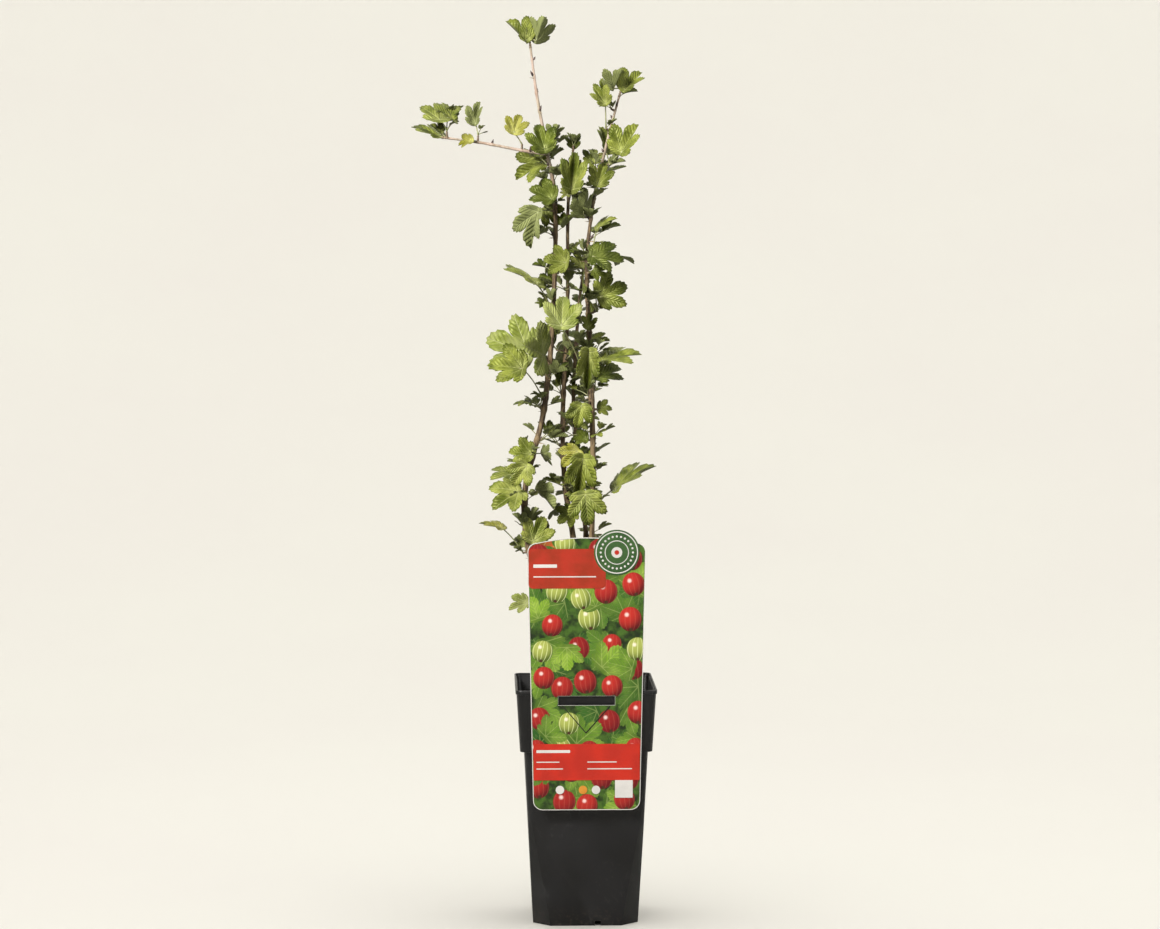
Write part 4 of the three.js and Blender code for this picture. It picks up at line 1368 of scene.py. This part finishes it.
def part_on_card(middle, step):
    """How much of a step from a printed shape's middle stays on the picture."""

    def stays(part):
        return on_card(middle[0] + step[0] * part, middle[1] + step[1] * part)

    good = 0.0
    for tried in range(1, 31):
        bad = tried / 30
        if not stays(bad):
            break
        good = bad
    else:
        return good
    for _ in range(6):
        halfway = (good + bad) / 2
        good, bad = (halfway, bad) if stays(halfway) else (good, halfway)
    return good


def add_printed(sheaf, outline, middle, size, turn, tone, heights):
    """Lays one flat printed shape on those that it overlaps, and ends it at the border."""
    near = [height for at, reach, height in heights if math.dist(at, middle) < reach + size]
    layer = 1 + max(near, default=0)
    heights.append((middle, size, layer))
    cos, sin = math.cos(turn), math.sin(turn)
    points = []
    places = []
    for u, v in [(0, 0.0), *outline]:
        step = (size * (u * cos - v * sin), size * (u * sin + v * cos))
        part = part_on_card(middle, step)
        x, z = middle[0] + step[0] * part, middle[1] + step[1] * part
        points.append((x, CARD_FRONT - PRINT_LAYER - PRINT_STEP * layer, z))
        places.append((u * part, v * part))
    count = len(outline)
    faces = [[0, 1 + side, 1 + (side + 1) % count] for side in range(count)]
    sheaf.add(points, faces, places=np.array(places), tone=tone)


def build_card_picture():
    """The card's picture: lobed leaves and round berries, scattered by a seeded rule."""
    draw = random_from(SEEDS["picture"])
    leaves = Sheaf()
    berries = Sheaf()
    heights = []
    placed = []
    leaf_outline = [
        (-radius * math.sin(math.radians(angle)), radius * math.cos(math.radians(angle)))
        for angle, radius in TEETH
    ]
    turns = [part * math.pi / 18 for part in range(36)]
    oval = [(0.94 * math.cos(turn), math.sin(turn)) for turn in turns]
    for tier in range(2):
        for row in range(LEAF_ROWS):
            for column in range(LEAF_COLUMNS):
                x = -39 + 26 * column + 16 * (draw() - 0.5)
                z = 108 + 27 * row + 18 * (draw() - 0.5)
                if (tier == 1 and draw() > 0.6) or not on_card(x, z):
                    continue
                if z > ORANGE_ABOVE and x < ORANGE_LEFT_OF:
                    tone = ORANGE_TONE
                else:
                    tone = (0.5 * draw(), 0.35 + 0.6 * draw())[tier]
                size = 20 - 3 * tier + 11 * draw()
                add_printed(leaves, leaf_outline, (x, z), size, 6.3 * draw(), tone, heights)
        scattered = []
        for _ in range(BERRY_TRIES):
            middle = (90 * (draw() - 0.5), 106 + 224 * draw())
            size = 8.7 + 1.9 * draw()
            near = scattered + (placed if tier else [])
            gaps = [math.dist(middle, other) for other in near]
            crowded = any(gap < BERRY_SPACING + 9 * draw() for gap in gaps)
            if crowded or not on_card(*middle):
                continue
            if len(scattered) < BERRIES[tier]:
                scattered.append(middle)
                add_printed(berries, oval, middle, size, 0.5 * (draw() - 0.5), draw(), heights)
        placed += scattered
    dress(leaves.piece("card_leaves"), [PRINTED_LEAVES])
    dress(berries.piece("card_berries"), [PRINTED_BERRIES])


# ------------------------------------------------------------------ limbs
def from_soil(limb):
    return LIMBS[limb]["line"][0][2] == FOOT


def limb_nodes(limb):
    """The places of a limb's buds: its part of the way and the azimuth that the bud faces."""
    count = int(limb_length(limb) / NODE_STEP)
    first = list(LIMBS).index(limb) * 67
    low = 0.12 if from_soil(limb) else 0.2
    return [
        (low + (0.97 - low) * rank / max(count - 1, 1), first + NODE_TURN * rank)
        for rank in range(count)
    ]


def limb_skin(limb, index):
    """A limb's mesh, with its ridges, flakes, and a swelling at each node, and its bark's age."""
    draw = random_from(SEEDS["bark"] + index)
    phases = [6.3 * draw() for _ in range(2)]
    nodes = [at for at, _ in limb_nodes(limb)] + [row[3] for row in SPRAYS if row[2] == limb]
    length = limb_length(limb)
    steps = math.ceil(length / LIMB_STEP)
    angles = 2 * math.pi * np.arange(LIMB_SIDES) / LIMB_SIDES
    line = []
    radii = []
    ages = []
    for step in range(steps + 1):
        at = step / steps
        way = at * length
        age = min(max((LIMBS[limb]["old_until"] - at) / 0.22 + 0.5, 0.05), 1)
        swelling = sum(math.exp(-(((at - node) * length / NODE_REACH) ** 2)) for node in nodes)
        ridges = np.sin(2 * angles + phases[0] + way / 21)
        ridges += np.sin(5 * angles + phases[1] - way / 34)
        ring = [(math.cos(angle) * 1.5, math.sin(angle) * 1.5) for angle in angles]
        flakes = [noise.noise(Vector((x, y, way / 7 + 40 * index))) for x, y in ring]
        relief = 1 + 0.05 * ridges + (0.03 + 0.13 * age) * np.array(flakes)
        flare = FOOT_FLARE * math.exp(-way / FLARE_REACH) if from_soil(limb) else 0
        radii.append(limb_radius(limb, at) * (relief + SWELLING * min(swelling, 1.2) + flare))
        line.append(along_limb(limb, at))
        ages += [age] * LIMB_SIDES
    line[0] = line[0] - limb_heading(limb, 0) * 2.2
    end = limb_heading(limb, 1)
    line += [line[-1] + end * 0.5, line[-1] + end * 0.8]
    radii += [radii[-1] * 0.75, radii[-1] * 0.35]
    ages += [ages[-1]] * 2 * LIMB_SIDES
    return *swept(line, radii, LIMB_SIDES), ages


def each_node(seed):
    """Each bud's limb, place on it, azimuth and point, with its limb's random numbers."""
    for index, limb in enumerate(LIMBS):
        draw = random_from(seed + index)
        for at, azimuth in limb_nodes(limb):
            yield limb, at, azimuth, along_limb(limb, at), draw


def build_limbs():
    """The old stems, and the young shoot apart from them."""
    stems = Sheaf()
    shoot = Sheaf()
    for index, limb in enumerate(LIMBS):
        points, faces, ages = limb_skin(limb, index)
        (stems if from_soil(limb) else shoot).add(points, faces, tone=ages)
    dress(stems.piece("stems"), [BARK], [limb for limb in LIMBS if from_soil(limb)])
    dress(shoot.piece("young_shoot"), [BARK], ["shoot_left"])


def build_thorns():
    """One or three thin thorns under each node, bent a little down."""
    thorns = Sheaf()
    radii = [THORN_RADIUS * share for share in (1, 0.62, 0.28, 0.06)]
    for limb, at, azimuth, node, draw in each_node(SEEDS["thorns"]):
        if at > 0.93:
            continue
        middle = node - limb_heading(limb, at) * 1.8
        for turn in (0, -38, 38) if draw() < 0.45 else (0,):
            heading = direction(azimuth + turn, -6 + 12 * draw())
            base = middle + heading * limb_radius(limb, at) * 0.8
            length = between(THORN_LENGTH, draw()) * (1 if turn == 0 else 0.75)
            sag = UP * -THORN_SAG * length
            line = [base + heading * length * way + sag * way**2 for way in (0, 0.4, 0.8, 1)]
            thorns.add(*swept(line, radii, 5))
    dress(thorns.piece("thorns"), [THORN_WOOD])


def build_buds():
    """Pointed brown buds at the nodes, each of three overlapping scales."""
    buds = Sheaf()
    for limb, at, azimuth, node, draw in each_node(SEEDS["buds"]):
        out = direction(azimuth, 48)
        base = node + direction(azimuth, 0) * limb_radius(limb, at) * 0.75
        length = between(BUD_LENGTH, draw())
        width = between(BUD_WIDTH, draw())
        for part, turn in ((0.62, 0), (0.8, 2.1), (1.0, 4.2)):
            lean = unit(out + 0.16 * turned(np.cross(out, UP), out, turn))
            line = [base + lean * length * part * way for way in (0, 0.3, 0.65, 0.9, 1)]
            girth = width * (1.25 - 0.3 * part)
            buds.add(*swept(line, [girth * size for size in (0.7, 1.0, 0.72, 0.3, 0.05)], 6))
    dress(buds.piece("buds"), [BUD_SCALES])


# ------------------------------------------------------------------ leaves
def blade_skin(leaf, outline, shares):
    """A closed leaf blade: upper and under side of nested rings, joined at the margin."""
    half = BLADE_THICKNESS / 2
    count = len(outline)
    theta = np.radians(outline[:, 0])
    points = []
    places = []
    for lift in (half, -half):
        points.append((leaf["joint"] + leaf["normal"] * lift)[None])
        places.append(np.zeros((1, 2)))
        for share in shares:
            edge = lift * (0.35 if share == 1 else 1)
            points.append(blade_points(leaf, outline, share, edge, MARGIN_WAVE))
            radius = (outline[:, 1] * share)[:, None]
            places.append(radius * np.stack((np.sin(theta), np.cos(theta)), 1))
    faces = []
    kinds = []
    under = 1 + count * len(shares)
    for side in range(count):
        following = (side + 1) % count
        faces.append([0, 1 + side, 1 + following])
        faces.append([under, under + 1 + following, under + 1 + side])
        kinds += [0, 1]
        for ring in range(len(shares) - 1):
            a = 1 + ring * count + side
            b = 1 + ring * count + following
            faces.append([a, a + count, b + count, b])
            faces.append([under + a, under + b, under + b + count, under + a + count])
            kinds += [0, 1]
        a = under - count + side
        b = under - count + following
        faces.append([a, under + a, under + b, b])
        kinds.append(1)
    return np.vstack(points), faces, kinds, np.vstack(places)


def leaf_stalk(leaf, radius, steps=6):
    """A thin stalk from the spur to the blade, with a slight arch and a broader foot."""
    end = blade_points(leaf, np.array(((0.0, BASE_RADIUS),)))[0]
    start = leaf["root"] + (leaf["root"] - leaf["joint"]) * 0.05
    span = leaf["joint"] - start
    arch = UP * 0.06 * np.linalg.norm(span)
    ways = [step / steps for step in range(steps + 1)]
    line = [start + span * way + arch * math.sin(math.pi * way) for way in ways]
    radii = [radius * (1.5 - 0.5 * min(3 * way, 1)) for way in ways]
    return swept([*line, end], [*radii, radius * 0.5], 6)


def spur_twig(spray):
    """A short knobbly twig that carries a spray, ringed where older leaves have stood."""
    draw = random_from(spray["index"] + SEEDS["twigs"])
    start = spray["node"] + spray["spur"] * 0.3
    span = spray["tip"] - start
    length = np.linalg.norm(span)
    steps = max(int(length / 0.45), 6)
    line = []
    radii = []
    for step in range(steps + 1):
        way = step / steps
        rings = 0.16 * math.sin(way * length * 3.1) + 0.14 * (draw() - 0.5)
        line.append(start + span * way)
        radii.append(SPUR_RADIUS * (1.15 - (1.15 - SPUR_TAPER) * way + rings))
    return swept([*line, spray["tip"] + spray["spur"] * 0.6], [*radii, SPUR_RADIUS * 0.4], 8)


def young_leaf_sites():
    """Where young leaves open on the limbs, as grow_young_leaves asks for it."""
    for index, (limb, kind) in enumerate(LIMBS.items()):
        if kind["leafy_until"] < 0.9:
            tip, heading = along_limb(limb, 1), limb_heading(limb, 1)
            yield tip, heading, SEEDS["tip_leaves"] + index, TIP_SIZE, TINY_STALK, TIP_TRIES
        for rank, (at, azimuth) in enumerate(limb_nodes(limb)):
            if 0.2 < at < kind["leafy_until"]:
                base = along_limb(limb, at) + direction(azimuth, 0) * (limb_radius(limb, at) + 1)
                heading, sizes = direction(azimuth, 30), kind["young_leaves"]
                seed = SEEDS["bud_leaves"] + 100 * index + rank
                yield base, heading, seed, sizes, SMALL_STALK, SMALL_TRIES


def build_foliage():
    """Every spray's leaves, stalks and twig, and the young leaves that open at spurs and buds."""
    sprays = grow_sprays()
    blades = {tint_and_light: Sheaf() for tint_and_light in (*LEAF_TINTS_AND_LIGHT, "turned", "tiny")}
    stalks = Sheaf()
    twigs = Sheaf()
    standing = [points for spray in sprays for points in spray["taken"]]
    tiny = []
    for spray in sprays:
        twigs.add(*spur_twig(spray), tone=0.75)
        for leaf in spray["leaves"]:
            blades[spray["tint_and_light"]].add(*blade_skin(leaf, TEETH, BLADE_SHARES), tone=leaf["tone"])
            stalks.add(*leaf_stalk(leaf, STALK_RADIUS * (0.75 + leaf["size"] / 100)))
        seed = SEEDS["spur_leaves"] + spray["index"]
        tiny += grow_young_leaves(
            spray["tip"], spray["spur"], seed, TINY_SIZE, TINY_STALK, TINY_TRIES, standing
        )
    small = []
    for site in young_leaf_sites():
        small += grow_young_leaves(*site, standing)
    for leaf in tiny:
        blades["tiny"].add(*blade_skin(leaf, OUTLINE, (0.55, 1.0)), tone=leaf["tone"])
        stalks.add(*leaf_stalk(leaf, 0.32, 3))
    for leaf in small:
        # Painted light and shade dealt at random: a small leaf gets the lit, half-shaded or shaded
        # copy of the green by its tone.
        tint_and_light = "mid" if leaf["tone"] < 0.4 else "deep" if leaf["tone"] < 0.7 else "bright"
        blades[tint_and_light].add(*blade_skin(leaf, TEETH, (0.5, 1.0)), tone=leaf["tone"])
        stalks.add(*leaf_stalk(leaf, 0.36, 4))
    skins = {tint_and_light: [skin, LEAF_UNDER] for tint_and_light, skin in LEAF_TINTS_AND_LIGHT.items()}
    skins["turned"] = [LEAF_UNDER, LEAF_TINTS_AND_LIGHT["mid"]]
    # Tiny leaves take the painted lit copy of the green.
    skins["tiny"] = skins["bright"]
    for tint_and_light, sheaf in blades.items():
        dress(sheaf.piece(f"leaves_{tint_and_light}"), skins[tint_and_light])
    dress(stalks.piece("leaf_stalks"), [STALK_SKIN])
    dress(twigs.piece("spur_twigs"), [BARK], [spray["name"] for spray in sprays])


# ------------------------------------------------------------------ studio
def build_studio():
    """A pale floor that curves up all round, so every view has a plain ground."""
    select_only()
    bpy.ops.mesh.primitive_circle_add(vertices=96, radius=1.0, fill_type="NGON")
    floor = bpy.context.object
    begin_edit(floor)
    pick(floor, "EDGE", lambda a, b: min(a.length, b.length) * MM > 0.9)
    reach, level = 1.0, 0.0
    for step in range(1, 25):
        wider = 1.0 + 0.28 * step
        higher = 0.006 * step**2 + 0.000012 * step**4
        extrude((0, 0, (higher - level) / MM))
        widen(wider / reach, wider / reach)
        reach, level = wider, higher
    end_edit()
    settle(floor, "studio_floor")
    if floor.data.polygons[0].normal.z < 0:
        floor.data.flip_normals()
    select_only(floor)
    bpy.ops.object.shade_smooth()
    paper, tree, at, _ = new_material("studio_paper", Roughness=0.95, Specular_IOR_Level=0.0)
    cloud = tree.use("mottle", Place=at, Scale=1.2, First="ecebe6", Second="ebe9e5")
    finish(tree, cloud["Color"])
    floor.data.materials.append(paper)


def lit_group(name, pieces):
    """A collection of the pieces that some lamps light."""
    group = bpy.data.collections.new(name)
    bpy.context.scene.collection.children.link(group)
    for piece in pieces:
        group.objects.link(piece)
    return group


def add_lamp(name, place, aim, size, power, colour, lit):
    """A square soft light that faces a height on the middle line and lights one collection."""
    lamp = bpy.data.lights.new(name, "AREA")
    lamp.shape = "SQUARE"
    lamp.size = size
    lamp.energy = power
    lamp.color = colour
    holder = bpy.data.objects.new(name, lamp)
    holder.location = place
    towards = Vector((0, 0, aim)) - holder.location
    holder.rotation_euler = towards.to_track_quat("-Z", "Y").to_euler()
    holder.light_linking.receiver_collection = lit
    holder.visible_glossy = name != "back"
    bpy.context.scene.collection.objects.link(holder)


for build in (
    build_pot, build_soil, build_crumbs, build_root_threads, build_card, build_card_picture,
    build_card_print, build_limbs, build_thorns, build_buds, build_foliage, build_studio,
):
    build()

meshes = [piece for piece in bpy.context.scene.objects if piece.type == "MESH"]
plant = lit_group("bush_and_pot", [piece for piece in meshes if piece.name != "studio_floor"])
ground = lit_group("ground", [bpy.data.objects["studio_floor"]])
add_lamp("key", (-1.5, -2.0, 2.0), 0.45, 0.7, 390, (1.0, 0.97, 0.93), plant)
add_lamp("fill", (2.2, -1.5, 1.2), 0.4, 1.2, 24, (0.96, 0.98, 1.0), plant)
add_lamp("back", (0.8, 2.2, 1.8), 0.45, 1.0, 130, (1.0, 0.99, 0.97), plant)
add_lamp("floor_light", (0, 0, 1.1), 0, 0.8, 1.35, (1.0, 1.0, 1.0), ground)

scene = bpy.context.scene
scene.world = bpy.data.worlds.new("studio_air")
scene.world.use_nodes = True
air = scene.world.node_tree.nodes["Background"].inputs
air["Color"].default_value = screen_colour("fffdf8")
air["Strength"].default_value = 1.25
scene.view_settings.view_transform = "Standard"

camera = bpy.data.objects.new("camera", bpy.data.cameras.new("camera"))
camera.location = (-0.0839, -2.7957, 0.5721)
camera.rotation_euler = Euler((math.radians(90 - 3.69), 0, math.radians(-1.64)))
camera.data.lens = 101.17
camera.data.sensor_width = 36
scene.collection.objects.link(camera)
scene.camera = camera
